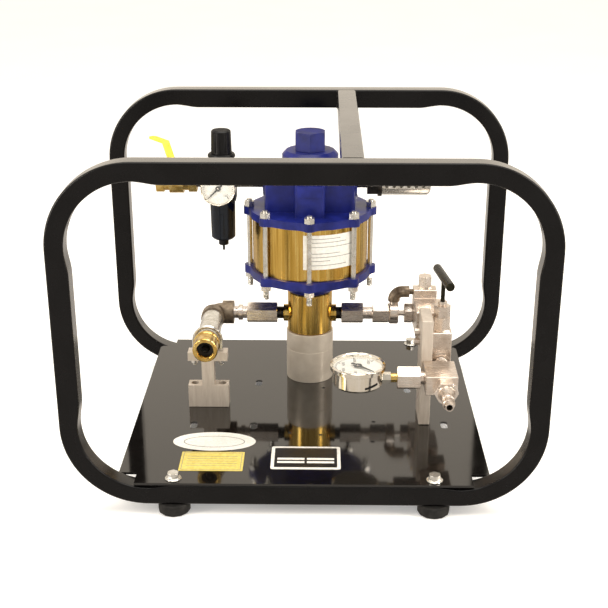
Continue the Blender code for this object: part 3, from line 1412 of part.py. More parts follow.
def pointer(name, radius, finish, matrix, hole):
    """A needle along local +X with a hub and a tail, pierced for its shaft."""
    hub = POINTER_HUB_SHARE * radius
    root = POINTER_ROOT_SHARE * radius
    end = POINTER_END_SHARE * radius
    tip = POINTER_TIP_SHARE * radius
    tail = POINTER_TAIL_SHARE * radius
    spread = math.asin(root / hub)
    loop = [(tip, -end), (tip, end)] + arc(0, 0, hub, spread, math.pi - spread, ROUND_STEPS)
    loop += [(-tail, root), (-tail, -root)] + arc(0, 0, hub, math.pi + spread, 2 * math.pi - spread,
                                                  ROUND_STEPS)
    return outline(name, [loop, circle(0, 0, hole)], -half(POINTER_THICKNESS), half(POINTER_THICKNESS),
                   finish, matrix)


def make_regulator_gauge():
    front = place(REGULATOR_X + DIAL_GAUGE_SHIFT, DIAL_GAUGE_FRONT, AIR_LINE, "-Y")
    reach = PUMP_Y - REGULATOR_HALF_DEPTH - DIAL_GAUGE_FRONT
    stem = rod("dial_stem", GAUGE_STEM_RADIUS, -reach - GAUGE_STEM_SEAT, -DIAL_GAUGE_DEPTH + DIAL_GAUGE_RIM,
               None,
               front, TINY_STEPS)
    return gauge_case("regulator_gauge", DIAL_GAUGE_RADIUS, DIAL_GAUGE_DEPTH, DIAL_GAUGE_RIM,
                      DIAL_GAUGE_RECESS,
                      POINTER_SHAFT_SHARE * DIAL_GAUGE_RADIUS, STEEL, front, stem)


def make_regulator_pointer():
    at = place(REGULATOR_X + DIAL_GAUGE_SHIFT, DIAL_GAUGE_FRONT, AIR_LINE, "-Y", math.radians(ZERO_DEGREES))
    at = at @ Matrix.Translation((0, 0, -POINTER_DEPTH_SHARE * DIAL_GAUGE_RECESS))
    hole = POINTER_SHAFT_SHARE * DIAL_GAUGE_RADIUS + SEAT_GAP
    return pointer("regulator_pointer", DIAL_GAUGE_RADIUS, BLACK_PLASTIC, at, hole)


def ball_valve_frame():
    return place(BALL_VALVE_X, PUMP_Y, AIR_LINE)


def make_ball_valve():
    matrix = ball_valve_frame() @ AXES["X"]
    reach = half(BALL_VALVE_LENGTH)
    body = rod("ball_valve_body", BALL_VALVE_RADIUS, -reach, reach, BRASS, matrix, MEDIUM_STEPS)
    ends = [
        prism("valve_hex", BALL_VALVE_HEX, -reach, -reach + BALL_VALVE_HEX_LENGTH, None, matrix),
        prism("valve_hex", BALL_VALVE_HEX, reach - BALL_VALVE_HEX_LENGTH, reach, None, matrix),
    ]
    bulge = rod("valve_belly", BALL_VALVE_RADIUS + SEAT_GAP + BALL_STEM_RADIUS, -BALL_RADIUS, BALL_RADIUS,
                None, matrix)
    boss = rod("stem_boss", BALL_BOSS_RADIUS, 0, BALL_BOSS_RISE, None, ball_valve_frame())
    cavity_radius = BALL_RADIUS + 2 * SEAT_GAP
    cavity = turned("ball_cavity", arc(0, 0, cavity_radius, math.pi / 2, -math.pi / 2, ROUND_STEPS), None,
                    ball_valve_frame(),
                    MEDIUM_STEPS)
    bore = rod("valve_bore", BALL_BORE, -reach - OVERRUN, reach + OVERRUN, None, matrix)
    stem_hole = rod("stem_hole", BALL_STEM_RADIUS + SEAT_GAP, 0, BALL_BOSS_RISE + OVERRUN, None,
                    ball_valve_frame())
    socket = nipple_socket("supply_port", BALL_VALVE_X + reach, PUMP_Y, AIR_LINE, "-X",
                           socket_depth(SUPPLY_GAP))
    inlet = rod("inlet_socket", NIPPLE_RADIUS + SEAT_GAP, -reach - OVERRUN,
                -BALL_RADIUS - SEAT_GAP - OVERRUN, None, matrix)
    join(body, *ends, bulge, boss)
    return cut(body, cavity, bore, stem_hole, socket, inlet)


def make_valve_ball():
    matrix = ball_valve_frame() @ Matrix.Rotation(math.pi / 2 + math.radians(LEVER_PHOTO_DEGREES), 4, "Z")
    points = arc(0, 0, BALL_RADIUS, math.pi / 2, -math.pi / 2, ROUND_STEPS)
    ball = turned("valve_ball", points, ZINC, matrix)
    stem = rod("ball_stem", BALL_STEM_RADIUS, half(BALL_RADIUS),
               LEVER_RISE + LEVER_THICKNESS + BALL_STEM_RADIUS, None,
               matrix, TINY_STEPS)
    bore = rod("ball_bore", BALL_BORE, -BALL_RADIUS - OVERRUN, BALL_RADIUS + OVERRUN, None,
               matrix @ AXES["X"], TINY_STEPS)
    cut(ball, bore)
    return join(ball, stem)


def make_lever():
    """A pressed lever with a raised grip, cut to its outline from a cranked strip."""
    matrix = ball_valve_frame() @ Matrix.Rotation(math.pi / 2 + math.radians(LEVER_PHOTO_DEGREES), 4, "Z")
    low = LEVER_RISE + SEAT_GAP
    high = low + LEVER_STEP_HEIGHT
    start = LEVER_STEP_START_SHARE * LEVER_LENGTH
    end = LEVER_STEP_END_SHARE * LEVER_LENGTH
    side = [
        (-half(LEVER_HUB_WIDTH), low),
        (start, low),
        (end, high),
        (LEVER_LENGTH, high),
        (LEVER_LENGTH, high + LEVER_THICKNESS),
        (end, high + LEVER_THICKNESS),
        (start, low + LEVER_THICKNESS),
        (-half(LEVER_HUB_WIDTH), low + LEVER_THICKNESS),
    ]
    strip = outline("ball_valve_lever", [side], -LEVER_HUB_WIDTH, LEVER_HUB_WIDTH, YELLOW_PLASTIC,
                    matrix @ SIDEWAYS)
    hub = half(LEVER_HUB_WIDTH)
    spread = math.asin(LEVER_WIDTH / LEVER_HUB_WIDTH)
    plan = arc(0, 0, hub, spread, 2 * math.pi - spread, HUB_STEPS)
    plan += arc(LEVER_LENGTH - half(LEVER_WIDTH), 0, half(LEVER_WIDTH), -math.pi / 2, math.pi / 2,
                ROUND_STEPS)
    keep = outline("lever_plan", [plan], low - OVERRUN, high + LEVER_THICKNESS + OVERRUN, None, matrix)
    trim(strip, keep)
    hole = rod("lever_hole", BALL_STEM_RADIUS + SEAT_GAP, low - OVERRUN, low + LEVER_THICKNESS + OVERRUN,
               None,
               matrix, TINY_STEPS)
    return cut(strip, hole)


# Water inlet


def hex_body(name, flats, length, finish, matrix):
    """A hexagonal fitting from 0 to its length along local Z, with chamfered ends."""
    radius = hex_radius(flats)
    body = prism(name, flats, 0, length, finish, matrix, math.pi / HEX_SIDES)
    profile = [
        (0, length),
        (radius - CHECK_EDGE, length),
        (radius + SEAT_GAP, length - CHECK_EDGE),
        (radius + SEAT_GAP, CHECK_EDGE),
        (radius - CHECK_EDGE, 0),
        (0, 0),
    ]
    return trim(body, turned(name + "_chamfer", profile, None, matrix, SMALL_STEPS))


def check_valve(name, length, matrix, in_gap, out_gap, nipple_at_inlet):
    """A check valve along local Z: the water comes in at 0 and lifts the ball off its seat."""
    body = hex_body(name, CHECK_FLATS, length, STEEL, matrix)
    seat_drop = math.sqrt(CHECK_BALL_RADIUS**2 - CHECK_SEAT_RADIUS**2)
    low = half(length) - seat_drop
    high = half(length) + seat_drop + CHECK_BALL_TRAVEL + 2 * SEAT_GAP
    socket = NIPPLE_RADIUS + SEAT_GAP
    in_end = socket_depth(in_gap)
    out_end = length - socket_depth(out_gap)
    profile = [
        (0, length),
        (CHECK_SEAT_RADIUS, length),
        (CHECK_SEAT_RADIUS, high),
        (CHECK_CHAMBER_RADIUS, high),
        (CHECK_CHAMBER_RADIUS, low),
        (CHECK_SEAT_RADIUS, low),
        (CHECK_SEAT_RADIUS, 0),
        (0, 0),
    ]
    inside = turned(name + "_bore", profile, None, matrix, SMALL_STEPS)
    inlet = matrix @ AXES["-Z"]
    outlet = matrix @ Matrix.Translation((0, 0, length))
    if nipple_at_inlet:
        join(body, fixed_nipple(in_gap, inlet))
        passage = nipple_passage(in_gap, OVERRUN, inlet)
        port = rod(name + "_port", socket, out_end, length + OVERRUN, None, matrix)
    else:
        join(body, fixed_nipple(out_gap, outlet))
        passage = nipple_passage(out_gap, OVERRUN, outlet)
        port = rod(name + "_port", socket, -OVERRUN, in_end, None, matrix)
    return clean_joins(cut(body, inside, passage, port))


def inlet_check_frame():
    return place(INLET_CHECK_X - INLET_CHECK_LENGTH, PUMP_Y, WATER_LINE, "X")


def outlet_check_frame():
    return place(OUTLET_CHECK_X, PUMP_Y, WATER_LINE, "X")


def make_check_valves():
    check_valve("inlet_check_valve", INLET_CHECK_LENGTH, inlet_check_frame(), HEX_NIPPLE_GAP,
                INLET_CHECK_GAP, False)
    check_valve("outlet_check_valve", OUTLET_CHECK_LENGTH, outlet_check_frame(), OUTLET_CHECK_GAP,
                OUTLET_NIPPLE_GAP,
                True)


def make_check_ball(name, matrix, length):
    at = matrix @ Matrix.Translation((0, 0, half(length) + SEAT_GAP))
    points = arc(0, 0, CHECK_BALL_RADIUS, math.pi / 2, -math.pi / 2, ROUND_STEPS)
    return turned(name, points, ZINC, at, TINY_STEPS)


def make_hex_nipple():
    matrix = place(ELBOW_FACE, PUMP_Y, WATER_LINE, "X")
    engaged = socket_depth(HEX_NIPPLE_GAP) - SEAT_GAP
    top = HEX_NIPPLE_GAP + engaged
    ring_low = half(HEX_NIPPLE_GAP - HEX_NIPPLE_RING)
    ring_high = ring_low + HEX_NIPPLE_RING
    profile = [
        (NIPPLE_BORE, top),
        (NIPPLE_RADIUS, top),
        (NIPPLE_RADIUS, ring_high),
        (HEX_NIPPLE_RING_RADIUS, ring_high),
        (HEX_NIPPLE_RING_RADIUS, ring_low),
        (NIPPLE_RADIUS, ring_low),
        (NIPPLE_RADIUS, -engaged),
        (NIPPLE_BORE, -engaged),
    ]
    return turned("inlet_nipple", profile, STEEL, matrix, SMALL_STEPS)


def make_inlet_elbow():
    """Two collars joined by a quarter bend, with sockets at both ends."""
    bend = ELBOW_BEND_RADIUS
    start = Vector((INLET_X + bend, PUMP_Y, WATER_LINE))
    quarter = arc(start.x, start.y - bend, bend, math.pi / 2, math.pi, ELBOW_STEPS)
    points = [(ELBOW_FACE - CHECK_EDGE, PUMP_Y, WATER_LINE)] + [(x, y, WATER_LINE) for x, y in quarter]
    points.append((INLET_X, ELBOW_FRONT + CHECK_EDGE, WATER_LINE))
    elbow = tube_along("inlet_elbow", points, ELBOW_BODY_RADIUS, DARK_STEEL)
    side = rod("elbow_collar", ELBOW_COLLAR_RADIUS, -ELBOW_COLLAR_LENGTH, 0, None,
               place(ELBOW_FACE, PUMP_Y, WATER_LINE, "X"), MEDIUM_STEPS)
    front = rod("elbow_collar", ELBOW_COLLAR_RADIUS, -ELBOW_COLLAR_LENGTH, 0, None,
                place(INLET_X, ELBOW_FRONT, WATER_LINE, "-Y"), MEDIUM_STEPS)
    water = tube_along("elbow_bore", points, NIPPLE_BORE)
    sockets = [
        nipple_socket("elbow_side_port", ELBOW_FACE, PUMP_Y, WATER_LINE, "-X", socket_depth(HEX_NIPPLE_GAP)),
        rod("elbow_front_port", NIPPLE_RADIUS + SEAT_GAP, -OVERRUN, PIPE_THREAD + SEAT_GAP, None,
            place(INLET_X, ELBOW_FRONT, WATER_LINE, "Y"), MEDIUM_STEPS),
    ]
    join(elbow, side, front)
    return cut(elbow, water, *sockets)


def inlet_frame(y):
    return place(INLET_X, y, WATER_LINE, "-Y")


def make_inlet_pipe():
    """A turned pipe about -Y, measured forwards from the elbow's front face."""
    shoulder = SEAT_GAP
    end = ELBOW_FRONT - PIPE_FRONT
    neck_end = ELBOW_FRONT - SWIVEL_FRONT - SWIVEL_SOCKET
    tail = neck_end + SWIVEL_LIP
    profile = [
        (PIPE_BORE, tail),
        (SWIVEL_BORE - SEAT_GAP, tail),
        (SWIVEL_BORE - SEAT_GAP, neck_end + SEAT_GAP),
        (PIPE_NECK_RADIUS, neck_end + SEAT_GAP),
        (PIPE_NECK_RADIUS, end),
        (PIPE_RADIUS, end),
        (PIPE_RADIUS, shoulder),
        (NIPPLE_RADIUS, shoulder),
        (NIPPLE_RADIUS, -PIPE_THREAD),
        (NIPPLE_BORE, -PIPE_THREAD),
        (NIPPLE_BORE, neck_end - SWIVEL_SOCKET),
        (PIPE_BORE, neck_end),
    ]
    return turned("inlet_pipe", profile, STEEL, inlet_frame(ELBOW_FRONT))


def make_swivel():
    """A brass hose nut that turns on the pipe's neck, open to the front."""
    length = PIPE_FRONT - SEAT_GAP - SWIVEL_FRONT
    step = SWIVEL_COLLAR_RADIUS - SWIVEL_RADIUS
    profile = [
        (SWIVEL_BORE, length),
        (SWIVEL_RADIUS - step, length),
        (SWIVEL_RADIUS, length - step),
        (SWIVEL_RADIUS, SWIVEL_COLLAR_LENGTH + step),
        (SWIVEL_COLLAR_RADIUS, SWIVEL_COLLAR_LENGTH),
        (SWIVEL_COLLAR_RADIUS, step),
        (SWIVEL_RADIUS, 0),
        (PIPE_NECK_RADIUS + SEAT_GAP, 0),
        (PIPE_NECK_RADIUS + SEAT_GAP, length - SWIVEL_SOCKET),
        (SWIVEL_BORE, length - SWIVEL_SOCKET),
    ]
    return turned("hose_swivel", profile, BRASS, inlet_frame(PIPE_FRONT - SEAT_GAP), MEDIUM_STEPS)


def make_hose_washer():
    base = SWIVEL_LIP + SEAT_GAP
    profile = ring_profile(SWIVEL_BORE - SEAT_GAP, WASHER_HOLE, base, base + WASHER_THICKNESS)
    return turned("hose_washer", profile, RUBBER, inlet_frame(SWIVEL_FRONT + SWIVEL_SOCKET), SMALL_STEPS)


def make_bracket():
    base = PLATE_TOP + SEAT_GAP
    base_top = base + BRACKET_BASE_HEIGHT
    bar_top = BAR_TOP
    bar_base = bar_top - BRACKET_BAR_HEIGHT
    right = [
        (half(BRACKET_BASE_LENGTH), base),
        (half(BRACKET_BASE_LENGTH), base_top),
        (half(BRACKET_POST_LENGTH), base_top),
        (half(BRACKET_POST_LENGTH), bar_base),
        (half(BRACKET_BAR_LENGTH), bar_base),
        (half(BRACKET_BAR_LENGTH), bar_top),
    ]
    loop = right + [(-x, z) for x, z in reversed(right)]
    matrix = place(INLET_X, BRACKET_Y, 0) @ SIDEWAYS
    bracket = outline("inlet_bracket", [loop], -half(BRACKET_DEPTH), half(BRACKET_DEPTH), GREY_ALUMINIUM,
                      matrix)
    tools = []
    head_seat = PLATE_BOTTOM + SCREW_LENGTH
    for x, y in bracket_screw_places():
        profile = [
            (0, base_top + OVERRUN),
            (SCREW_HEAD_RADIUS + SEAT_GAP, base_top + OVERRUN),
            (SCREW_HEAD_RADIUS + SEAT_GAP, head_seat),
            (SCREW_RADIUS + SEAT_GAP, head_seat),
            (SCREW_RADIUS + SEAT_GAP, base - OVERRUN),
            (0, base - OVERRUN),
        ]
        tools.append(turned("counterbore", profile, None, place(x, y, 0), TINY_STEPS))
    for side in (-1, 1):
        tools.append(rod("leg_hole", U_BOLT_RADIUS + SEAT_GAP, bar_base - OVERRUN, bar_top + OVERRUN, None,
                         place(INLET_X + side * U_BOLT_BEND, BRACKET_Y, 0), TINY_STEPS))
    return clean_joins(cut(bracket, *tools))


def make_u_bolt():
    """A bent rod over the pipe with a nut on each leg under the bar."""
    bar_base = BAR_TOP - BRACKET_BAR_HEIGHT
    low = bar_base - U_BOLT_BELOW_BAR
    bend = arc(INLET_X, WATER_LINE, U_BOLT_BEND, math.pi, 0, U_BOLT_STEPS)
    points = [(INLET_X - U_BOLT_BEND, BRACKET_Y, low)]
    points += [(x, BRACKET_Y, z) for x, z in bend]
    points.append((INLET_X + U_BOLT_BEND, BRACKET_Y, low))
    bolt = tube_along("pipe_u_bolt", points, U_BOLT_RADIUS, ZINC, None, 1)
    nuts = [
        prism("u_nut", U_NUT_FLATS, bar_base - SEAT_GAP - U_NUT_HEIGHT, bar_base - SEAT_GAP, None,
              place(INLET_X + side * U_BOLT_BEND, BRACKET_Y, 0))
        for side in (-1, 1)
    ]
    return join(bolt, *nuts)


# Water outlet


def make_adapter():
    matrix = place(ADAPTER_X, PUMP_Y, WATER_LINE, "X")
    body = hex_body("outlet_adapter", ADAPTER_FLATS, ADAPTER_LENGTH, STEEL, matrix)
    inlet = matrix @ AXES["-Z"]
    join(body, fixed_nipple(OUTLET_NIPPLE_GAP, inlet))
    spigot = rod("adapter_socket", TEE_SPIGOT_RADIUS + SEAT_GAP, ADAPTER_LENGTH - TEE_SPIGOT_LENGTH,
                 ADAPTER_LENGTH + OVERRUN, None, matrix, MEDIUM_STEPS)
    return clean_joins(cut(body, spigot, nipple_passage(OUTLET_NIPPLE_GAP, ADAPTER_LENGTH - OVERRUN, inlet)))


def make_tee():
    matrix = place(TEE_X, PUMP_Y, WATER_LINE, "X")
    spigot = TEE_SPIGOT_LENGTH - 2 * SEAT_GAP
    edge = CHECK_EDGE
    profile = [
        (0, TEE_LENGTH),
        (TEE_RADIUS - edge, TEE_LENGTH),
        (TEE_RADIUS, TEE_LENGTH - edge),
        (TEE_RADIUS, edge),
        (TEE_RADIUS - edge, 0),
        (TEE_SPIGOT_RADIUS, 0),
        (TEE_SPIGOT_RADIUS, -spigot),
        (0, -spigot),
    ]
    tee = turned("outlet_tee", profile, STEEL, matrix)
    middle = place(TEE_X + half(TEE_LENGTH), PUMP_Y, WATER_LINE)
    neck = rod("tee_neck", TEE_NECK_RADIUS, 0, TEE_RADIUS + TEE_NECK_HEIGHT, None, middle)
    top_socket = rod("tee_top_port", RELIEF_STUB_RADIUS + SEAT_GAP, TEE_RADIUS - TEE_NECK_HEIGHT,
                     TEE_RADIUS + TEE_NECK_HEIGHT + OVERRUN, None, middle, TINY_STEPS)
    tube_socket = rod("tee_tube_port", OUTLET_TUBE_RADIUS + SEAT_GAP, half(TEE_LENGTH),
                      TEE_LENGTH + OVERRUN, None,
                      matrix, TINY_STEPS)
    through = rod("tee_bore", OUTLET_TUBE_RADIUS - CHECK_EDGE, -spigot - OVERRUN, TEE_LENGTH, None, matrix,
                  TINY_STEPS)
    join(tee, neck)
    return cut(tee, top_socket, tube_socket, through)


def make_tube_nut():
    """The thin tube from the tee into the relief block, with its compression nut."""
    matrix = place(TUBE_NUT_X, PUMP_Y, WATER_LINE, "X")
    nut = hex_body("tube_nut", TUBE_NUT_FLATS, TUBE_NUT_LENGTH, STEEL, matrix)
    start = TEE_X + half(TEE_LENGTH) + SEAT_GAP - TUBE_NUT_X
    tube = rod("outlet_tube", OUTLET_TUBE_RADIUS, start, TUBE_NUT_LENGTH + TUBE_INSERT, None, matrix,
               TINY_STEPS)
    bore = rod("tube_bore", OUTLET_TUBE_RADIUS - CHECK_EDGE, start - OVERRUN,
               TUBE_NUT_LENGTH + TUBE_INSERT + OVERRUN,
               None, matrix, TINY_STEPS)
    join(nut, tube)
    return cut(nut, bore)


def make_relief_elbow():
    x = TEE_X + half(TEE_LENGTH)
    top = WATER_LINE + RELIEF_ELBOW_RISE
    bend = RELIEF_ELBOW_BEND
    base = WATER_LINE + TEE_RADIUS + TEE_NECK_HEIGHT + SEAT_GAP
    quarter = arc(x + bend, top - bend, bend, math.pi, math.pi / 2, ELBOW_STEPS)
    points = [(x, PUMP_Y, base)] + [(px, PUMP_Y, pz) for px,
                                    pz in quarter] + [(RELIEF_ELBOW_END, PUMP_Y, top)]
    elbow = tube_along("relief_elbow", points, RELIEF_ELBOW_RADIUS, DARK_STEEL)
    lower = rod("elbow_lower_stub", RELIEF_STUB_RADIUS, WATER_LINE + TEE_RADIUS - TEE_NECK_HEIGHT + SEAT_GAP,
                base + OVERRUN, None, place(x, PUMP_Y, 0), TINY_STEPS)
    side = rod("elbow_side_stub", RELIEF_STUB_RADIUS, RELIEF_ELBOW_END - OVERRUN, RELIEF_X + TUBE_INSERT,
               None,
               place(0, PUMP_Y, top, "X"), TINY_STEPS)
    return join(elbow, lower, side)


def make_relief_block():
    low = WATER_LINE - RELIEF_BELOW_LINE
    high = WATER_LINE + RELIEF_ABOVE_LINE
    block = box("relief_block", (RELIEF_X, PUMP_Y - half(RELIEF_DEPTH), low),
                (RELIEF_X + RELIEF_LENGTH, PUMP_Y + half(RELIEF_DEPTH), high), STEEL)
    bevel(block, BLOCK_EDGE)
    middle = place(RELIEF_X + half(RELIEF_LENGTH), PUMP_Y, 0)
    plug = prism("relief_plug", RELIEF_PLUG_FLATS, high - OVERRUN, high + RELIEF_PLUG_HEIGHT, None, middle)
    tube_port = rod("relief_tube_port", OUTLET_TUBE_RADIUS + SEAT_GAP, RELIEF_X - OVERRUN,
                    RELIEF_X + TUBE_INSERT + SEAT_GAP, None, place(0, PUMP_Y, WATER_LINE, "X"), TINY_STEPS)
    elbow_port = rod("relief_elbow_port", RELIEF_STUB_RADIUS + SEAT_GAP, RELIEF_X - OVERRUN,
                     RELIEF_X + TUBE_INSERT + SEAT_GAP, None,
                     place(0, PUMP_Y, WATER_LINE + RELIEF_ELBOW_RISE, "X"), TINY_STEPS)
    join(block, plug)
    return cut(block, tube_port, elbow_port)


def make_manifold():
    rear = PUMP_Y - half(RELIEF_DEPTH) - SEAT_GAP
    block = box("manifold_block", (RELIEF_X, rear - MANIFOLD_DEPTH, WATER_LINE - MANIFOLD_BELOW_LINE),
                (RELIEF_X + MANIFOLD_LENGTH, rear, WATER_LINE + MANIFOLD_ABOVE_LINE), STEEL)
    bevel(block, BLOCK_EDGE)
    port = nipple_socket("manifold_port", VALVE_X, rear - MANIFOLD_DEPTH, LINK_LINE, "Y",
                         LINK_ENGAGED + SEAT_GAP)
    return cut(block, port)


def make_link_nipple():
    at = place(VALVE_X, VALVE_Y + half(VALVE_SIZE + LINK_GAP), LINK_LINE, "Y")
    return nipple("link_nipple", LINK_GAP + 2 * LINK_ENGAGED, at, STEEL)


# Needle valve and outlet


def make_valve_body():
    edge = half(VALVE_SIZE)
    body = box("valve_body", (VALVE_X - edge, VALVE_Y - edge, VALVE_BASE),
               (VALVE_X + edge, VALVE_Y + edge, VALVE_BASE + VALVE_HEIGHT), STEEL)
    bevel(body, BLOCK_EDGE)
    boss = rod("valve_boss", VALVE_BOSS_RADIUS, -OVERRUN, VALVE_BOSS_HEIGHT, None,
               place(VALVE_X, VALVE_Y - edge, FRONT_LINE, "-Y"), MEDIUM_STEPS)
    front_depth = half(NIPPLE_LENGTH - (VALVE_FRONT - BLOCK_REAR)) + SEAT_GAP
    needle = turned("needle_bore", [
        (0, VALVE_BASE + VALVE_HEIGHT + OVERRUN),
        (VALVE_BORE_RADIUS, VALVE_BASE + VALVE_HEIGHT + OVERRUN),
        (VALVE_BORE_RADIUS, NEEDLE_BASE + NEEDLE_TIP),
        (NEEDLE_SEAT_RADIUS, NEEDLE_BASE),
        (NEEDLE_SEAT_RADIUS, FRONT_LINE),
        (0, FRONT_LINE),
    ], None, place(VALVE_X, VALVE_Y, 0), TINY_STEPS)
    screws = [
        cap_screw(place(SUPPORT_X - SEAT_GAP + SCREW_LENGTH, VALVE_SCREW_Y, VALVE_BASE + rise, "-X"))
        for rise in (VALVE_SCREW_LOW, VALVE_SCREW_LOW + VALVE_SCREW_SPACING)
    ]
    ports = [
        nipple_socket("valve_rear_port", VALVE_X, VALVE_Y + edge, LINK_LINE, "-Y", LINK_ENGAGED + SEAT_GAP),
        nipple_socket("valve_front_port", VALVE_X, VALVE_FRONT, FRONT_LINE, "Y", front_depth),
        rod("valve_rear_bore", OUTLET_TUBE_RADIUS - CHECK_EDGE, VALVE_Y, VALVE_Y + edge, None,
            place(VALVE_X, 0, LINK_LINE, "Y"), TINY_STEPS),
    ]
    join(body, boss, *screws)
    return cut(body, needle, *ports)


def make_bonnet():
    base = VALVE_BASE + VALVE_HEIGHT + SEAT_GAP
    at = place(VALVE_X, VALVE_Y, 0)
    hex_top = base + GLAND_HEIGHT
    top = hex_top + BONNET_HEX_HEIGHT
    bonnet = prism("valve_bonnet", GLAND_FLATS, base, hex_top, STEEL, at)
    upper = prism("bonnet_hex", BONNET_HEX_FLATS, hex_top - OVERRUN, top, None, at, math.pi / HEX_SIDES)
    nut_profile = [
        (0, top + PACKING_NUT_HEIGHT),
        (PACKING_NUT_RADIUS, top + PACKING_NUT_HEIGHT),
        (PACKING_NUT_RADIUS, top + PACKING_NUT_GROOVE),
        (PACKING_NUT_RADIUS - PACKING_NUT_GROOVE, top + PACKING_NUT_GROOVE),
        (PACKING_NUT_RADIUS - PACKING_NUT_GROOVE, top - OVERRUN),
        (0, top - OVERRUN),
    ]
    nut = turned("packing_nut", nut_profile, None, at, SMALL_STEPS)
    bore = rod("bonnet_bore", HANDLE_STEM_RADIUS + 2 * SEAT_GAP, base - OVERRUN,
               top + PACKING_NUT_HEIGHT + OVERRUN,
               None, at)
    join(bonnet, upper, nut)
    return cut(bonnet, bore)


def make_needle():
    top = NEEDLE_BASE + NEEDLE_LENGTH
    profile = [
        (0, top),
        (NEEDLE_RADIUS, top),
        (NEEDLE_RADIUS, NEEDLE_BASE + NEEDLE_TIP),
        (NEEDLE_SEAT_RADIUS - SEAT_GAP, NEEDLE_BASE + SEAT_GAP),
        (0, NEEDLE_BASE + SEAT_GAP),
    ]
    return turned("valve_needle", profile, STEEL, place(VALVE_X, VALVE_Y, 0), TINY_STEPS)


def make_t_handle():
    matrix = place(VALVE_X, VALVE_Y, 0) @ Matrix.Rotation(math.radians(HANDLE_DEGREES), 4, "Z")
    low = NEEDLE_BASE + NEEDLE_LENGTH + SEAT_GAP
    reach = half(HANDLE_BAR_LENGTH)
    handle = rod("t_handle", HANDLE_STEM_RADIUS, low, HANDLE_LEVEL, BLACK_PLASTIC, matrix)
    edge = HANDLE_BAR_EDGE
    profile = [
        (0, reach),
        (HANDLE_BAR_RADIUS - edge, reach),
        (HANDLE_BAR_RADIUS, reach - edge),
        (HANDLE_BAR_RADIUS, edge - reach),
        (HANDLE_BAR_RADIUS - edge, -reach),
        (0, -reach),
    ]
    bar = turned("handle_bar", profile, None, matrix @ Matrix.Translation((0, 0, HANDLE_LEVEL)) @ AXES["Y"],
                 SMALL_STEPS)
    return join(handle, bar)


def make_support_bar():
    low = PLATE_TOP + SEAT_GAP
    bar = box("support_bar", (SUPPORT_X, SUPPORT_FRONT, low),
              (SUPPORT_X + SUPPORT_THICKNESS, SUPPORT_FRONT + SUPPORT_DEPTH, SUPPORT_TOP), GREY_ALUMINIUM)
    bevel(bar, BLOCK_EDGE)
    join(bar, *screws_from_below(support_screw_places()))
    holes = [
        rod("bar_side_hole", SCREW_RADIUS + SEAT_GAP, SUPPORT_X - OVERRUN,
            SUPPORT_X + SUPPORT_THICKNESS + OVERRUN,
            None, place(0, VALVE_SCREW_Y, VALVE_BASE + rise, "X"), TINY_STEPS)
        for rise in (VALVE_SCREW_LOW, VALVE_SCREW_LOW + VALVE_SCREW_SPACING)
    ]
    return cut(bar, *holes)


def make_outlet_block():
    """The front block, with the nipple in its rear face that reaches into the valve."""
    front = BLOCK_REAR - OUTLET_BLOCK_DEPTH
    block = box("outlet_block", (OUTLET_BLOCK_X, front, OUTLET_BLOCK_BASE),
                (OUTLET_BLOCK_X + OUTLET_BLOCK_LENGTH, BLOCK_REAR, OUTLET_BLOCK_BASE + OUTLET_BLOCK_HEIGHT),
                STEEL)
    bevel(block, BLOCK_EDGE)
    rear = place(VALVE_X, BLOCK_REAR, FRONT_LINE, "Y")
    gap = VALVE_FRONT - BLOCK_REAR
    join(block, fixed_nipple(gap, rear))
    fitting = place(FITTING_X, front, FITTING_LINE, "Y")
    tools = [
        nipple_passage(gap, half(OUTLET_BLOCK_DEPTH), rear),
        nipple_socket("block_side_port", OUTLET_BLOCK_X, GAUGE_Y, GAUGE_STEM_AXIS, "X",
                      socket_depth(OUTLET_BLOCK_X - GAUGE_ADAPTER_END)),
        rod("block_front_port", FITTING_SPIGOT_RADIUS + SEAT_GAP, -OVERRUN,
            FITTING_SPIGOT_LENGTH + SEAT_GAP, None,
            fitting),
        rod("block_bore", FITTING_BORE, -OVERRUN, half(OUTLET_BLOCK_DEPTH), None, fitting, TINY_STEPS),
    ]
    return cut(block, *tools)


def make_fitting():
    """The outlet: a hex with a round neck and a coned male end, bored through."""
    matrix = place(FITTING_X, BLOCK_REAR - OUTLET_BLOCK_DEPTH - SEAT_GAP, FITTING_LINE, "-Y")
    hex_end = FITTING_HEX_LENGTH
    neck_end = hex_end + FITTING_NECK_LENGTH
    tip = hex_end + FITTING_NECK_LENGTH + FITTING_TIP_LENGTH
    fitting = hex_body("outlet_fitting", FITTING_FLATS, hex_end, STEEL, matrix)
    profile = [
        (0, tip),
        (FITTING_BORE + CHECK_EDGE, tip),
        (FITTING_CONE_RADIUS, tip - FITTING_CONE_LENGTH),
        (FITTING_TIP_RADIUS, tip - FITTING_CONE_LENGTH - CHECK_EDGE),
        (FITTING_TIP_RADIUS, neck_end),
        (FITTING_NECK_RADIUS, hex_end),
        (FITTING_NECK_RADIUS, hex_end - OVERRUN),
        (FITTING_SPIGOT_RADIUS, OVERRUN),
        (FITTING_SPIGOT_RADIUS, -FITTING_SPIGOT_LENGTH),
        (0, -FITTING_SPIGOT_LENGTH),
    ]
    nose = turned("fitting_nose", profile, None, matrix, SMALL_STEPS)
    bore = rod("fitting_bore", FITTING_BORE, -FITTING_SPIGOT_LENGTH - OVERRUN, tip + OVERRUN, None, matrix,
               TINY_STEPS)
    join(fitting, nose)
    return cut(fitting, bore)


# Test gauge


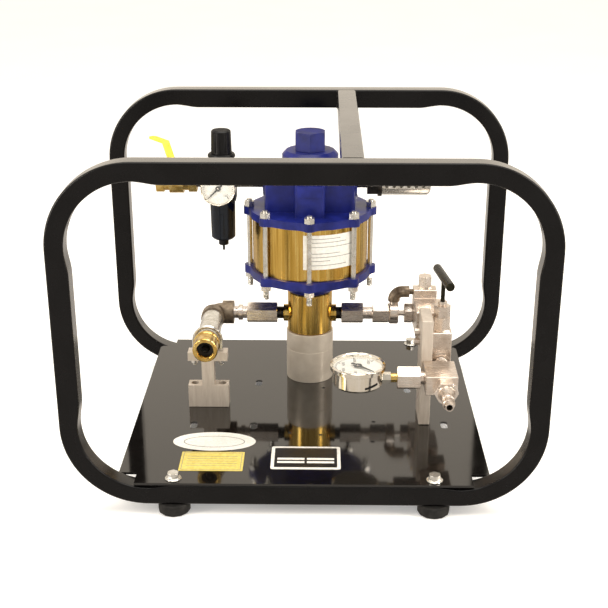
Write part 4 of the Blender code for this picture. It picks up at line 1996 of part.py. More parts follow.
def make_gauge_adapter():
    matrix = place(GAUGE_ADAPTER_X, GAUGE_Y, GAUGE_STEM_AXIS, "X")
    body = hex_body("gauge_adapter", GAUGE_ADAPTER_FLATS, GAUGE_ADAPTER_LENGTH, STEEL, matrix)
    gap = OUTLET_BLOCK_X - GAUGE_ADAPTER_END
    outlet = matrix @ Matrix.Translation((0, 0, GAUGE_ADAPTER_LENGTH))
    join(body, fixed_nipple(gap, outlet))
    stem_socket = rod("gauge_socket", GAUGE_STEM_RADIUS + SEAT_GAP, -OVERRUN, GAUGE_STEM_INSERT + SEAT_GAP,
                      None,
                      matrix)
    return cut(body, stem_socket, nipple_passage(gap, GAUGE_ADAPTER_LENGTH - OVERRUN, outlet))


def make_test_gauge():
    face = place(GAUGE_X, GAUGE_Y, GAUGE_RIM_TOP)
    profile = [
        (GAUGE_RADIUS - half(GAUGE_RIM_WIDTH), 0),
        (GAUGE_RADIUS, -half(GAUGE_RIM_WIDTH)),
        (GAUGE_RADIUS, -GAUGE_RIM_HEIGHT),
        (GAUGE_CASE_RADIUS, -GAUGE_RIM_HEIGHT),
        (GAUGE_CASE_RADIUS, -GAUGE_CASE_HEIGHT + GAUGE_RIM_WIDTH),
        (GAUGE_CASE_RADIUS - GAUGE_RIM_WIDTH, -GAUGE_CASE_HEIGHT),
        (0, -GAUGE_CASE_HEIGHT),
        (0, -GAUGE_RECESS),
        (GAUGE_RADIUS - GAUGE_RIM_WIDTH, -GAUGE_RECESS),
        (GAUGE_RADIUS - GAUGE_RIM_WIDTH, -half(GAUGE_RIM_WIDTH)),
    ]
    case = turned("test_gauge", profile, STEEL, face, LARGE_STEPS)
    shaft = rod("gauge_shaft", POINTER_SHAFT_SHARE * GAUGE_RADIUS, -GAUGE_RECESS - GAUGE_RIM_WIDTH,
                -half(GAUGE_RECESS), None, face, TINY_STEPS)
    stem_start = GAUGE_X + GAUGE_CASE_RADIUS - GAUGE_RIM_WIDTH
    across = place(0, GAUGE_Y, GAUGE_STEM_AXIS, "X")
    stem = rod("gauge_stem", GAUGE_STEM_RADIUS, stem_start, GAUGE_STEM_END + GAUGE_STEM_INSERT, None, across)
    flats = prism("gauge_flats", GAUGE_STEM_WIDTH, stem_start, GAUGE_FLATS_END, None, across)
    return clean_joins(join(case, shaft, stem, flats))


def make_gauge_pointer():
    at = place(GAUGE_X, GAUGE_Y, GAUGE_RIM_TOP, "Z", math.radians(-GAUGE_POINTER_DEGREES))
    at = at @ Matrix.Translation((0, 0, -POINTER_DEPTH_SHARE * GAUGE_RECESS))
    hole = POINTER_SHAFT_SHARE * GAUGE_RADIUS + SEAT_GAP
    return pointer("test_gauge_pointer", GAUGE_RADIUS, BLACK_PLASTIC, at, hole)


def main():
    make_frame("front_frame", -1)
    make_frame("rear_frame", 1)
    make_crossbar()
    make_plate()
    for side_y, row in ((-1, "front"), (1, "rear")):
        for side_x, side in ((-1, "left"), (1, "right")):
            make_foot(f"{row}_{side}_foot", side_x * FOOT_OFFSET, side_y * RAIL_Y)
    make_pedestal()
    make_hydraulic_body()
    make_plunger()
    make_packing()
    make_lower_flange()
    make_barrel()
    make_piston()
    make_piston_seal()
    make_head()
    make_cap()
    make_spool()
    make_air_nipples()
    make_muffler()
    make_regulator()
    make_adjuster()
    make_knob()
    make_bowl()
    make_drain()
    make_regulator_gauge()
    make_regulator_pointer()
    make_ball_valve()
    make_valve_ball()
    make_lever()
    make_check_valves()
    make_check_ball("inlet_check_ball", inlet_check_frame(), INLET_CHECK_LENGTH)
    make_check_ball("outlet_check_ball", outlet_check_frame(), OUTLET_CHECK_LENGTH)
    make_hex_nipple()
    make_inlet_elbow()
    make_inlet_pipe()
    make_swivel()
    make_hose_washer()
    make_bracket()
    make_u_bolt()
    make_adapter()
    make_tee()
    make_tube_nut()
    make_relief_elbow()
    make_relief_block()
    make_manifold()
    make_link_nipple()
    make_valve_body()
    make_bonnet()
    make_needle()
    make_t_handle()
    make_support_bar()
    make_outlet_block()
    make_fitting()
    make_gauge_adapter()
    make_test_gauge()
    make_gauge_pointer()


main()
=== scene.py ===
"""Finishes, fine detail, stage and camera for the hydrostatic test pump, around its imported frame."""

import functools
import json
import math

import bmesh
import bpy
from mathutils import Matrix, Vector


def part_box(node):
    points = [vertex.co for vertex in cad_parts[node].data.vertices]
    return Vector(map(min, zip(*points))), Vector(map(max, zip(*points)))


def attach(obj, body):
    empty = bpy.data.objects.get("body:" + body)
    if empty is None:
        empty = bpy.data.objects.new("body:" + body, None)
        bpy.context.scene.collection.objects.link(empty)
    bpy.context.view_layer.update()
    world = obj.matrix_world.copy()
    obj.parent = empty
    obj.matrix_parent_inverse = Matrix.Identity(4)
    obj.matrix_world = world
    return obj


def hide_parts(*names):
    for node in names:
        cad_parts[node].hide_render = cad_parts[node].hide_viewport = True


bl_info = {
    "name": "Hydrostatic Test Pump Finishes",
    "version": (1, 0, 0),
    "blender": (4, 5, 0),
    "location": "View3D > Sidebar > Test Pump",
    "description": "Dresses the packed test pump in its finishes and fine detail",
    "category": "Object",
}

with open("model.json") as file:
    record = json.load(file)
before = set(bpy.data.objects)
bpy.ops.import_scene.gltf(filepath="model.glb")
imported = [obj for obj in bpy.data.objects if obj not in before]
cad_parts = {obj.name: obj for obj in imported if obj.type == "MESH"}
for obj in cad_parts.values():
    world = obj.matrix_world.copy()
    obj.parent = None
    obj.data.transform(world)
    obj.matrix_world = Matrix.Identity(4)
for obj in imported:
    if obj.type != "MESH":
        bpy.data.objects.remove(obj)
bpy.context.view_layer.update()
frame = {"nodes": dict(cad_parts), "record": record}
RECORD = frame["record"]
BODY_OF = {node: body for body, nodes in RECORD["behaviour"]["bodies"].items() for node in nodes}
SLOT_OF = {row["node"]: row["material_slot"] for row in RECORD["subparts"]}

MM = 0.001
TURN = 2 * math.pi
EVEN = (1.0, 1.0, 1.0)
FACING = "facing"


# Places on the pump, read from its nodes


def low(node):
    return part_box(node)[0]


def high(node):
    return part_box(node)[1]


def middle(node):
    return (low(node) + high(node)) / 2


# Node trees and finishes


def linear(hex_colour):
    """An sRGB hex colour as a linear one."""
    shares = [int(hex_colour[i:i + 2], 16) / 255 for i in (1, 3, 5)]
    return tuple(s / 12.92 if s <= 0.04045 else ((s + 0.055) / 1.055) ** 2.4 for s in shares) + (1.0,)


def add(tree, kind, settings=None, **links):
    """Adds a node with its settings; each link gives an input a node or socket to come from, or a value."""
    node = tree.nodes.new(kind)
    for name, value in (settings or {}).items():
        setattr(node, name, value)
    for name, source in links.items():
        name = name.replace("_", " ")
        socket = node.inputs[int(name[1:])] if name[0] == "n" and name[1:].isdigit() else node.inputs[name]
        if isinstance(source, bpy.types.Node):
            source = source.outputs[0]
        if isinstance(source, bpy.types.NodeSocket):
            tree.links.new(source, socket)
        else:
            socket.default_value = source
    return node


def new_finish(name, colour, metallic, roughness, **sockets):
    """A material of a linear colour with its shader, whose even values stand on the shader's own sockets."""
    material = bpy.data.materials.new(name)
    material.use_nodes = True
    tree = material.node_tree
    shader = tree.nodes["Principled BSDF"]
    shader.inputs["Base Color"].default_value = colour
    shader.inputs["Metallic"].default_value = metallic
    shader.inputs["Roughness"].default_value = roughness
    for key, value in sockets.items():
        shader.inputs[key.replace("_", " ")].default_value = value
    return material, tree, shader


def places(tree, scale=EVEN):
    """Object coordinates, stretched by scale."""
    source = add(tree, "ShaderNodeTexCoord")
    return add(tree, "ShaderNodeMapping", {"vector_type": "TEXTURE"}, Vector=source.outputs["Object"],
               Scale=tuple(1 / s for s in scale)).outputs[0]


def steps(tree, value, *stops):
    """A ramp through (place, shade) stops, each shade a hex colour, a linear one or a grey."""
    ramp = add(tree, "ShaderNodeValToRGB", Fac=value)
    elements = ramp.color_ramp.elements
    while len(elements) < len(stops):
        elements.new(0.5)
    for element, (place, shade) in zip(elements, stops):
        element.position = place
        if isinstance(shade, str):
            shade = linear(shade)
        element.color = shade if isinstance(shade, tuple) else (shade, shade, shade, 1.0)
    return ramp.outputs["Color"]


def pattern(tree, size, detail=3.0, roughness=0.5, stretch=EVEN):
    """Noise of that real size in mm on Object coordinates, stretched along the axes, or the angle of view."""
    if size is FACING:
        return add(tree, "ShaderNodeLayerWeight", Blend=0.5).outputs["Facing"]
    return add(tree, "ShaderNodeTexNoise", Vector=places(tree, stretch), Scale=1 / (size * MM), Detail=detail,
               Roughness=roughness).outputs["Fac"]


def printed(name, colour, deep, roughness=0.45):
    """The row of a thin print in ink or enamel: even, with a slight mottle."""
    return (name, colour, 0.0, roughness, {}, {"mottle": (3,)},
            ("Base Color", "mottle", (0.35, deep), (0.65, colour)), ("Normal", "mottle", 0.01, 0.3))


# Each row has the material's name, colour, metallic share and roughness, the shader's other even values, its
# patterns, and what they drive: a socket with its stops, or the normal with a bump's depth and strength.
# Sizes and depths are in mm. A colour without # is one of the settings, and its stops are shares of it.
# Orange peel, cutter lines, turned rings, blasting and spark texture are finer on the real pieces, and are
# drawn here as coarse as they need to be to show.
FINISHES = {
    # Black powder coat, sprayed and baked on steel tube: satin, with a fine orange peel, paler at a low angle
    "coat": (
        "powder_coat_baked_black", "coat", 0.0, 0.3, {"Specular_IOR_Level": 0.24, "Coat_Roughness": 0.14},
        {"peel": (1.6, 2.0), "cloud": (45, 4.0), "view": (FACING,)},
        ("Coat Weight", "view", (0.35, 0.0), (0.62, 1.0)),
        ("Base Color", "cloud", (0.35, 0.7), (0.7, 1.2)),
        ("Roughness", "cloud", (0.3, 0.2), (0.75, 0.34)),
        ("Normal", "peel", 0.05, 0.5),
    ),
    # Black gloss enamel, sprayed on sheet steel: nearly a mirror, with light dust and rubbed streaks
    "enamel": (
        "gloss_enamel_sprayed_black", "#0d0b0a", 0.0, 0.06,
        {"IOR": 1.6, "Coat_Weight": 0.3, "Coat_Roughness": 0.03},
        {"streaks": (60, 4.0, 0.5, (0.25, 1, 1)), "dust": (2.2, 2.0), "waves": (40, 2.0)},
        ("Roughness", "streaks", (0.3, 0.035), (0.8, 0.12)),
        ("Base Color", "dust", (0.55, "#0d0b0a"), (0.8, "#171411")),
        ("Normal", "waves", 0.12, 0.25),
    ),
    # Bright zinc plate on turned and cold-headed steel: pale, with clouded patches
    "zinc": (
        "zinc_plated_steel", "#e2e0da", 0.9, 0.22, {},
        {"cloud": (9, 4.0), "grain": (2.4, 2.0)},
        ("Base Color", "cloud", (0.3, "#ccc8bf"), (0.55, "#e2e0da"), (0.8, "#efeeeb")),
        ("Roughness", "cloud", (0.25, 0.3), (0.8, 0.16)),
        ("Normal", "grain", 0.006, 0.3),
    ),
    # Stainless bar, milled and left bright: fine cutter lines, faint brown warmth and handling marks
    "stainless": (
        "stainless_bar_machined", "#d9cdc2", 1.0, 0.28, {},
        {"lines": (1.1, 3.0, 0.5, (0.08, 1, 1)), "marks": (14, 5.0, 0.6)},
        ("Base Color", "marks", (0.3, "#d8cabd"), (0.5, "#eaded3"), (0.75, "#f3ece5")),
        ("Roughness", "lines", (0.3, 0.22), (0.7, 0.36)),
        ("Normal", "lines", 0.012, 0.4),
    ),
    # Stainless sheet, drawn and polished for the gauge case: bright, with faint wipe marks
    "polished": (
        "stainless_sheet_polished", "#d3ccc2", 1.0, 0.14, {},
        {"wipe": (8, 4.0, 0.5, (1, 1, 0.2))},
        ("Roughness", "wipe", (0.3, 0.09), (0.8, 0.22)),
        ("Base Color", "wipe", (0.3, "#ebe2d2"), (0.8, "#f8f3ea")),
    ),
    # Aluminium bar, turned and left plain: matt warm grey with fine rings round its axis
    "turned": (
        "aluminium_bar_turned", "#dcd1c2", 0.35, 0.4, {},
        {"rings": (1.3, 3.0, 0.5, (0.02, 0.02, 1)), "cloud": (22,)},
        ("Base Color", "cloud", (0.3, "#d0c5b6"), (0.75, "#e6dccd")),
        ("Roughness", "rings", (0.3, 0.36), (0.7, 0.5)),
        ("Normal", "rings", 0.04, 0.6),
    ),
    # Aluminium bar, milled and bead-blasted: pale beige grey, even and soft, with faint scuffs
    "milled": (
        "aluminium_bar_milled", "#d3c8bb", 0.35, 0.42, {},
        {"scuffs": (5, 5.0, 0.65, (1, 1, 0.15)), "blast": (0.8, 2.0)},
        ("Base Color", "scuffs", (0.35, "#c6baad"), (0.7, "#d8cec2")),
        ("Normal", "blast", 0.03, 0.5),
    ),
    # Gold anodised aluminium tube, polished before it was dyed: bright, with long faint draw lines
    "gold": (
        "aluminium_anodised_gold", "#cfa340", 1.0, 0.2, {}, {"lines": (3.5, 4.0, 0.6, (1, 1, 0.03))},
        ("Base Color", "lines", (0.3, "#bd953d"), (0.5, "#dcb45c"), (0.72, "#f0d080")),
        ("Roughness", "lines", (0.3, 0.16), (0.7, 0.3)),
        ("Normal", "lines", 0.015, 0.4),
    ),
    # Deep blue enamel sprayed over cast aluminium: glossy, with the casting's sand texture under it
    "blue": (
        "casting_enamelled_blue", "casting", 0.0, 0.38,
        {"Specular_IOR_Level": 0.3, "Coat_Weight": 0.1, "Coat_Roughness": 0.15},
        {"cloud": (18, 4.0), "sand": (1.4, 3.0, 0.6)},
        ("Base Color", "cloud", (0.3, 0.71), (0.7, 1.42)),
        ("Roughness", "cloud", (0.3, 0.3), (0.7, 0.42)),
        ("Normal", "sand", 0.12, 0.6),
    ),
    # Malleable iron fitting, cast, tumbled and oiled: brown grey, grainy, rubbed bright in places
    "iron": (
        "malleable_iron_cast", "#8a7b69", 0.8, 0.36, {},
        {"grain": (1.5, 4.0, 0.6), "cloud": (10, 4.0)},
        ("Base Color", "cloud", (0.3, "#5c4f43"), (0.55, "#918270"), (0.8, "#b3a48f")),
        ("Roughness", "cloud", (0.3, 0.5), (0.8, 0.28)),
        ("Normal", "grain", 0.15, 0.7),
    ),
    # Steel pipe with its black mill scale, lacquered: dark, with a wet gloss
    "pipe": (
        "steel_pipe_black_lacquered", "#1f1b19", 0.7, 0.22, {"Coat_Weight": 0.4, "Coat_Roughness": 0.1},
        {"cloud": (6, 4.0), "scale": (1.0, 2.0)},
        ("Base Color", "cloud", (0.3, "#171412"), (0.8, "#332c28")),
        ("Normal", "scale", 0.05, 0.5),
    ),
    # Steel, blackened hot and oiled: near black with an olive bloom where the oil lies
    "oxide": (
        "steel_black_oxide", "#26241d", 0.8, 0.3, {}, {"cloud": (7, 4.0)},
        ("Base Color", "cloud", (0.3, "#191814"), (0.6, "#2b291f"), (0.85, "#4a4734")),
        ("Roughness", "cloud", (0.3, 0.2), (0.8, 0.38)),
    ),
    # Glass-filled nylon, injection moulded in black: satin, with the tool's fine spark texture
    "nylon": (
        "nylon_moulded_black", "#08080a", 0.0, 0.36, {"Specular_IOR_Level": 0.3},
        {"cloud": (12,), "sparks": (0.7, 2.0)},
        ("Roughness", "cloud", (0.3, 0.28), (0.8, 0.44)),
        ("Normal", "sparks", 0.05, 0.5),
    ),
    # Dark blue polycarbonate, moulded: glossy, with paler light in its wall painted into its colour, in
    # upright patches at random
    "bowl": (
        "polycarbonate_moulded_smoke_blue", "#070b14", 0.0, 0.1, {"Specular_IOR_Level": 0.42},
        {"cloud": (12, 3.0, 0.5, (1, 1, 0.3))},
        ("Base Color", "cloud", (0.3, "#05070c"), (0.75, "#0c1826")),
        ("Roughness", "cloud", (0.3, 0.06), (0.8, 0.16)),
    ),
    # Brass bar, turned and polished: yellow, with fine tool rings and faint tarnish
    "brass": (
        "brass_bar_turned", "#d8a94a", 1.0, 0.16, {},
        {"rings": (1.0, 3.0, 0.5, (0.05, 1, 0.05)), "tarnish": (8, 4.0)},
        ("Base Color", "tarnish", (0.3, "#c39a48"), (0.55, "#e6c578"), (0.8, "#f3dfa4")),
        ("Roughness", "rings", (0.3, 0.12), (0.7, 0.26)),
        ("Normal", "rings", 0.03, 0.5),
    ),
    # Nitrile rubber, moulded: matt black, greyed with dust, finely pitted
    "rubber": (
        "nitrile_rubber_moulded", "#191817", 0.0, 0.72, {"Specular_IOR_Level": 0.35},
        {"dust": (8, 4.0), "pits": (0.9,)},
        ("Base Color", "dust", (0.35, "#131211"), (0.8, "#2b2927")),
        ("Normal", "pits", 0.12, 0.6),
    ),
    # Yellow vinyl, dipped over a steel lever: soft gloss, scuffed to a duller yellow
    "vinyl": (
        "vinyl_dipped_yellow", "#f2dc12", 0.0, 0.38, {"IOR": 1.52},
        {"scuffs": (6, 5.0, 0.6), "drips": (1.8, 2.0)},
        ("Base Color", "scuffs", (0.3, "#dac22a"), (0.55, "#f3e244"), (0.85, "#faee6c")),
        ("Normal", "drips", 0.08, 0.4),
    ),
    # Flat glass of a gauge, cut and set under its rim: clear, with a clean gloss
    "glass": (
        "gauge_glass_clear", "#f4f7f5", 0.0, 0.03, {"IOR": 1.46, "Alpha": 0.06}, {"smears": (12,)},
        ("Roughness", "smears", (0.4, 0.02), (0.9, 0.1)),
    ),
    # Pressed felt inside the silencer: pale, dull and fibrous
    "felt": (
        "felt_pressed_pale", "#8a857b", 0.0, 0.95, {}, {"fibres": (0.9, 4.0, 0.7, (0.3, 1, 1))},
        ("Base Color", "fibres", (0.3, "#4e4a43"), (0.75, "#aaa598")),
        ("Normal", "fibres", 0.3, 0.8),
    ),
    # White enamel, printed on dial cards and labels: even, a shade warmer where it lies thin
    "white": printed("enamel_printed_white", "#efeee9", "#e3e0d9"),
    # Black ink, printed on the dials and their pointers: even and nearly matt
    "black": printed("ink_printed_black", "#121212", "#0b0b0b"),
    # Yellow vinyl film, printed for a label: even, with a soft gloss
    "yellow": printed("vinyl_label_yellow", "#e0cf74", "#d2bd5a", 0.4),
    # Aluminium plate, printed black: even, a little glossier than the dials' ink
    "nameplate": printed("aluminium_plate_printed_black", "#101014", "#08080a", 0.3),
    # Grey ink, printed on the labels: pale and even
    "grey_ink": printed("ink_printed_grey", "#8d8b88", "#77756f"),
}


@functools.cache
def finish(key):
    """The finish of that key, made once."""
    name, colour, metallic, roughness, values, patterns, *drives = FINISHES[key]
    base = linear(colour) if colour[0] == "#" else (*getattr(bpy.context.scene.pump_colours, colour), 1.0)
    material, tree, shader = new_finish(name, base, metallic, roughness, **values)
    made = {label: pattern(tree, *spec) for label, spec in patterns.items()}
    for socket, label, *rest in drives:
        if socket == "Normal":
            source = add(tree, "ShaderNodeBump", Height=made[label], Distance=rest[0] * MM, Strength=rest[1])
            tree.links.new(source.outputs[0], shader.inputs["Normal"])
            continue
        if socket == "Base Color" and colour[0] != "#":
            rest = [(place, (*(share * part for part in base[:3]), 1.0)) for place, share in rest]
        tree.links.new(steps(tree, made[label], *rest), shader.inputs[socket])
    return material


# Meshes


JOIN_DISTANCE = 2e-6
FLAT_ANGLE = math.radians(0.3)
EDGE_ANGLE = math.radians(38)
BOLT_EDGE = 0.4 * MM
SMOOTH_DEGREES = 33.0
SMALL_SMOOTH_DEGREES = 32.0
FACE_WEIGHT = 95


def merged_copy(node):
    """A node's mesh with its triangles joined and its flat faces made whole."""
    form = bmesh.new()
    form.from_mesh(frame["nodes"][node].data)
    bmesh.ops.remove_doubles(form, verts=form.verts, dist=JOIN_DISTANCE)
    bmesh.ops.dissolve_limit(form, angle_limit=FLAT_ANGLE, verts=form.verts, edges=form.edges)
    return form


def bake(thing):
    """Turns a thing's evaluated modifiers into a plain mesh of its own."""
    bpy.context.view_layer.update()
    graph = bpy.context.evaluated_depsgraph_get()
    mesh = bpy.data.meshes.new_from_object(thing.evaluated_get(graph), depsgraph=graph)
    thing.modifiers.clear()
    old = thing.data
    thing.data = mesh
    mesh.name = thing.name
    if old.users == 0 and isinstance(old, bpy.types.Mesh):
        bpy.data.meshes.remove(old)
    return thing


def shade(mesh, degrees=SMALL_SMOOTH_DEGREES):
    """Smooth shading that breaks at edges sharper than that many degrees."""
    mesh.shade_smooth()
    mesh.set_sharp_from_angle(angle=math.radians(degrees))


def even_shading(piece):
    """Smooth shading led by the larger faces, so that a narrow rounded edge doesn't tint them."""
    shade(piece.data, SMOOTH_DEGREES)
    leading = piece.modifiers.new("larger_faces_lead", "WEIGHTED_NORMAL")
    leading.keep_sharp = True
    leading.weight = FACE_WEIGHT
    bake(piece)


def mesh_of(form, name, keys=()):
    """A mesh of a bmesh, which is freed, with its finishes."""
    mesh = bpy.data.meshes.new(name)
    form.to_mesh(mesh)
    form.free()
    for key in keys:
        mesh.materials.append(finish(key))
    return mesh


def set_out(name, data):
    """An object of that mesh, lamp or camera in the scene."""
    thing = bpy.data.objects.new(name, data)
    bpy.context.scene.collection.objects.link(thing)
    return thing


def new_piece(name, form, *keys, body="pump_unit", slot=None):
    """A piece from a bmesh, with its finishes, on its body; its slot is not used."""
    mesh = mesh_of(form, name, keys)
    shade(mesh)
    piece = set_out(name, mesh)
    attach(piece, body)
    return piece


def dress_node(node, key, edge, regions=()):
    """Replaces a node by a finished copy: its edges rounded, its faces in their finishes.

    Each region is a finish and a test that says which faces it holds.
    """
    form = merged_copy(node)
    keys = [key]
    for region_key, holds in regions:
        if region_key not in keys:
            keys.append(region_key)
        for face in form.faces:
            if holds(face):
                face.material_index = keys.index(region_key)
    piece = set_out("finished_" + node, mesh_of(form, "finished_" + node, keys))
    piece.data.shade_smooth()
    if edge:
        rounding = piece.modifiers.new("edge", "BEVEL")
        rounding.width = edge
        rounding.segments = 2
        rounding.limit_method = "ANGLE"
        rounding.angle_limit = EDGE_ANGLE
        bake(piece)
    even_shading(piece)
    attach(piece, BODY_OF[node])
    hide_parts(node)
    return piece


def join_rings(form, rings, closed=True):
    """Walls between rings of as many vertices each; the last ring meets the first, or both ends get a cap."""
    for ring, following in zip(rings, rings[1:] + rings[:1] if closed else rings[1:]):
        for i in range(len(ring)):
            j = (i + 1) % len(ring)
            form.faces.new((ring[i], ring[j], following[j], following[i]))
    if not closed:
        form.faces.new(rings[0])
        form.faces.new(rings[-1])
    bmesh.ops.recalc_face_normals(form, faces=form.faces)


# The bent frames, lofted finely


TUBE_CORNER = 2.8 * MM
BOLT_REACH = 12 * MM
EASING = [step / 8 for step in range(8)]


def eased(share):
    """A share from 0 to 1 with a gentle start and end."""
    return share * share * (3 - 2 * share)


def bent_stations(settings):
    """Round the frame: each section's outer point, the way in from it, and how far the bend squeezes it."""
    reach_x = (high("front_frame").x - low("front_frame").x) / 2 - settings.bend
    reach_z = (high("front_frame").z - FRAME_FLOOR) / 2 - settings.bend
    stations = []
    for quarter, (side_x, side_z) in enumerate(((1, 1), (-1, 1), (-1, -1), (1, -1))):
        centre = Vector((side_x * reach_x, side_z * reach_z))
        for step in range(settings.bend_steps + 1):
            angle = (quarter + step / settings.bend_steps) * TURN / 4
            outward = Vector((math.cos(angle), math.sin(angle)))
            ahead = Vector((-outward.y, outward.x))
            spot = centre + outward * settings.bend
            run = ahead * settings.squeeze_run
            if step == 0:
                stations += [(spot - run * (1 - share), -outward, eased(share)) for share in EASING]
            stations.append((spot, -outward, 1.0))
            if step == settings.bend_steps:
                stations += [(spot + run * (1 - share), -outward, eased(share)) for share in reversed(EASING)]
    return stations


def bent_frame(node, settings):
    """A frame of bent square tube with its two plate bolts, in place of a node."""
    form = merged_copy(node)
    axes = [(side * FOOT_X, math.copysign(RAIL_Y, middle(node).y)) for side in (-1, 1)]
    tube = [face for face in form.faces if min(v.co.z for v in face.verts) <= PLATE_TOP + NEAR or not any(
        math.hypot(v.co.x - x, v.co.y - y) < BOLT_REACH for v in face.verts for x, y in axes)]
    bmesh.ops.delete(form, geom=tube, context="FACES")
    bmesh.ops.holes_fill(form, edges=[edge for edge in form.edges if edge.is_boundary])
    bmesh.ops.bevel(form, geom=[edge for edge in form.edges if edge.calc_face_angle(0) > EDGE_ANGLE],
                    offset=BOLT_EDGE, segments=2, affect="EDGES", clamp_overlap=True)
    for face in form.faces:
        face.material_index = 1
    rings = []
    lift = (high("front_frame").z + FRAME_FLOOR) / 2
    for outer, inward, share in bent_stations(settings):
        depth = settings.tube - settings.squeeze * share
        section = rounded_rectangle(depth / 2, settings.tube / 2, TUBE_CORNER, corner_steps=4)
        ring = []
        for inset, side in section:
            at = outer + inward * (depth / 2 + inset)
            ring.append(form.verts.new((at.x, axes[0][1] + side, lift + at.y)))
        rings.append(ring)
    join_rings(form, rings)
    piece = new_piece("finished_" + node, form, "coat", "zinc", slot=SLOT_OF[node])
    even_shading(piece)
    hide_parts(node)


# Repeated detail, grown by geometry nodes


def new_tree(name, **inputs):
    """A geometry tree with its named inputs, each given with its kind of socket."""
    tree = bpy.data.node_groups.new(name, "GeometryNodeTree")
    inputs = {"Geometry": "Geometry", **inputs, "Finish": "Material"}
    for label, kind in inputs.items():
        tree.interface.new_socket(label.replace("_", " "), in_out="INPUT", socket_type="NodeSocket" + kind)
    tree.interface.new_socket("Geometry", in_out="OUTPUT", socket_type="NodeSocketGeometry")
    return tree, add(tree, "NodeGroupInput").outputs


def close_tree(tree, given, geometry):
    real = add(tree, "GeometryNodeRealizeInstances", Geometry=geometry)
    coated = add(tree, "GeometryNodeSetMaterial", Geometry=real, Material=given["Finish"])
    add(tree, "NodeGroupOutput", Geometry=coated)
    return tree


@functools.cache
def thread_tree():
    """A sharp ridge wound round a core, started at each point of the mesh."""
    tree, given = new_tree("thread_coils", Core_Radius="Float", Pitch="Float", Length="Float", Depth="Float",
                           Tilt="Rotation")
    turns = add(tree, "ShaderNodeMath", {"operation": "DIVIDE"}, n0=given["Length"], n1=given["Pitch"])
    coil = add(tree, "GeometryNodeCurveSpiral", Resolution=14, Rotations=turns,
               Start_Radius=given["Core Radius"], End_Radius=given["Core Radius"], Height=given["Length"])
    ridge = add(tree, "GeometryNodeCurvePrimitiveCircle", Resolution=3, Radius=given["Depth"])
    swept = add(tree, "GeometryNodeCurveToMesh", Curve=coil, Profile_Curve=ridge, Fill_Caps=True)
    spread = add(tree, "GeometryNodeInstanceOnPoints", Points=given["Geometry"], Instance=swept,
                 Rotation=given["Tilt"])
    return close_tree(tree, given, spread)


@functools.cache
def ring_tree():
    """Copies of the mesh turned about the Z axis in even steps, then set in place."""
    tree, given = new_tree("items_round_an_axis", Count="Int", Start="Float", Step="Float", Centre="Vector",
                           Tilt="Rotation")
    index = add(tree, "GeometryNodeInputIndex")
    angle = add(tree, "ShaderNodeMath", {"operation": "MULTIPLY_ADD"}, n0=index, n1=given["Step"],
                n2=given["Start"])
    turn = add(tree, "ShaderNodeCombineXYZ", Z=angle)
    points = add(tree, "GeometryNodePoints", Count=given["Count"])
    spread = add(tree, "GeometryNodeInstanceOnPoints", Points=points, Instance=given["Geometry"],
                 Rotation=turn)
    placed = add(tree, "GeometryNodeTransform", Geometry=spread, Translation=given["Centre"],
                 Rotation=given["Tilt"])
    return close_tree(tree, given, placed)


@functools.cache
def bead_tree():
    """Overlapping drops of weld along the mesh's edges, each a little unlike the next."""
    tree, given = new_tree("weld_bead", Spacing="Float", Radius="Float", Seed="Int")
    path = add(tree, "GeometryNodeMeshToCurve", Mesh=given["Geometry"])
    even = add(tree, "GeometryNodeResampleCurve", {"mode": "LENGTH"}, Curve=path, Length=given["Spacing"])
    drop = add(tree, "GeometryNodeMeshIcoSphere", Radius=given["Radius"], Subdivisions=2)
    unlike = add(tree, "FunctionNodeRandomValue", {"data_type": "FLOAT"}, n2=0.8, n3=1.1, Seed=given["Seed"])
    spread = add(tree, "GeometryNodeInstanceOnPoints", Points=even, Instance=drop, Scale=unlike.outputs[1])
    return close_tree(tree, given, spread)


def grow(name, form, tree, body, slot, key, **inputs):
    """Runs a tree on a bmesh and keeps the result as a piece of its own."""
    piece = set_out(name, mesh_of(form, name))
    growth = piece.modifiers.new("growth", "NODES")
    growth.node_group = tree
    identifiers = {item.name: item.identifier for item in tree.interface.items_tree if item.in_out == "INPUT"}
    growth[identifiers["Finish"]] = finish(key)
    for label, value in inputs.items():
        growth[identifiers[label.replace("_", " ")]] = value
    bake(piece)
    if not len(piece.data.polygons):
        raise RuntimeError(name + " came out empty")
    shade(piece.data)
    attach(piece, body)
    return piece


def points_form(points):
    form = bmesh.new()
    for point in points:
        form.verts.new(point)
    return form


def block_form(corner_low, corner_high):
    """A block between two corners."""
    form = bmesh.new()
    start, end = Vector(corner_low), Vector(corner_high)
    bmesh.ops.create_cube(form, size=1.0, matrix=Matrix.LocRotScale((start + end) / 2, None, end - start))
    return form


def spun_form(profile, count):
    """A closed turned form: a profile of (radius, height) pairs, from axis to axis, spun about Z."""
    form = bmesh.new()
    verts = [form.verts.new((radius, 0, height)) for radius, height in profile]
    edges = [form.edges.new(pair) for pair in zip(verts, verts[1:])]
    bmesh.ops.spin(form, geom=verts + edges, cent=(0, 0, 0), axis=(0, 0, 1), angle=TURN, steps=count,
                   use_merge=True)
    bmesh.ops.remove_doubles(form, verts=form.verts, dist=JOIN_DISTANCE)
    bmesh.ops.dissolve_degenerate(form, edges=form.edges, dist=JOIN_DISTANCE)
    bmesh.ops.recalc_face_normals(form, faces=form.faces)
    return form


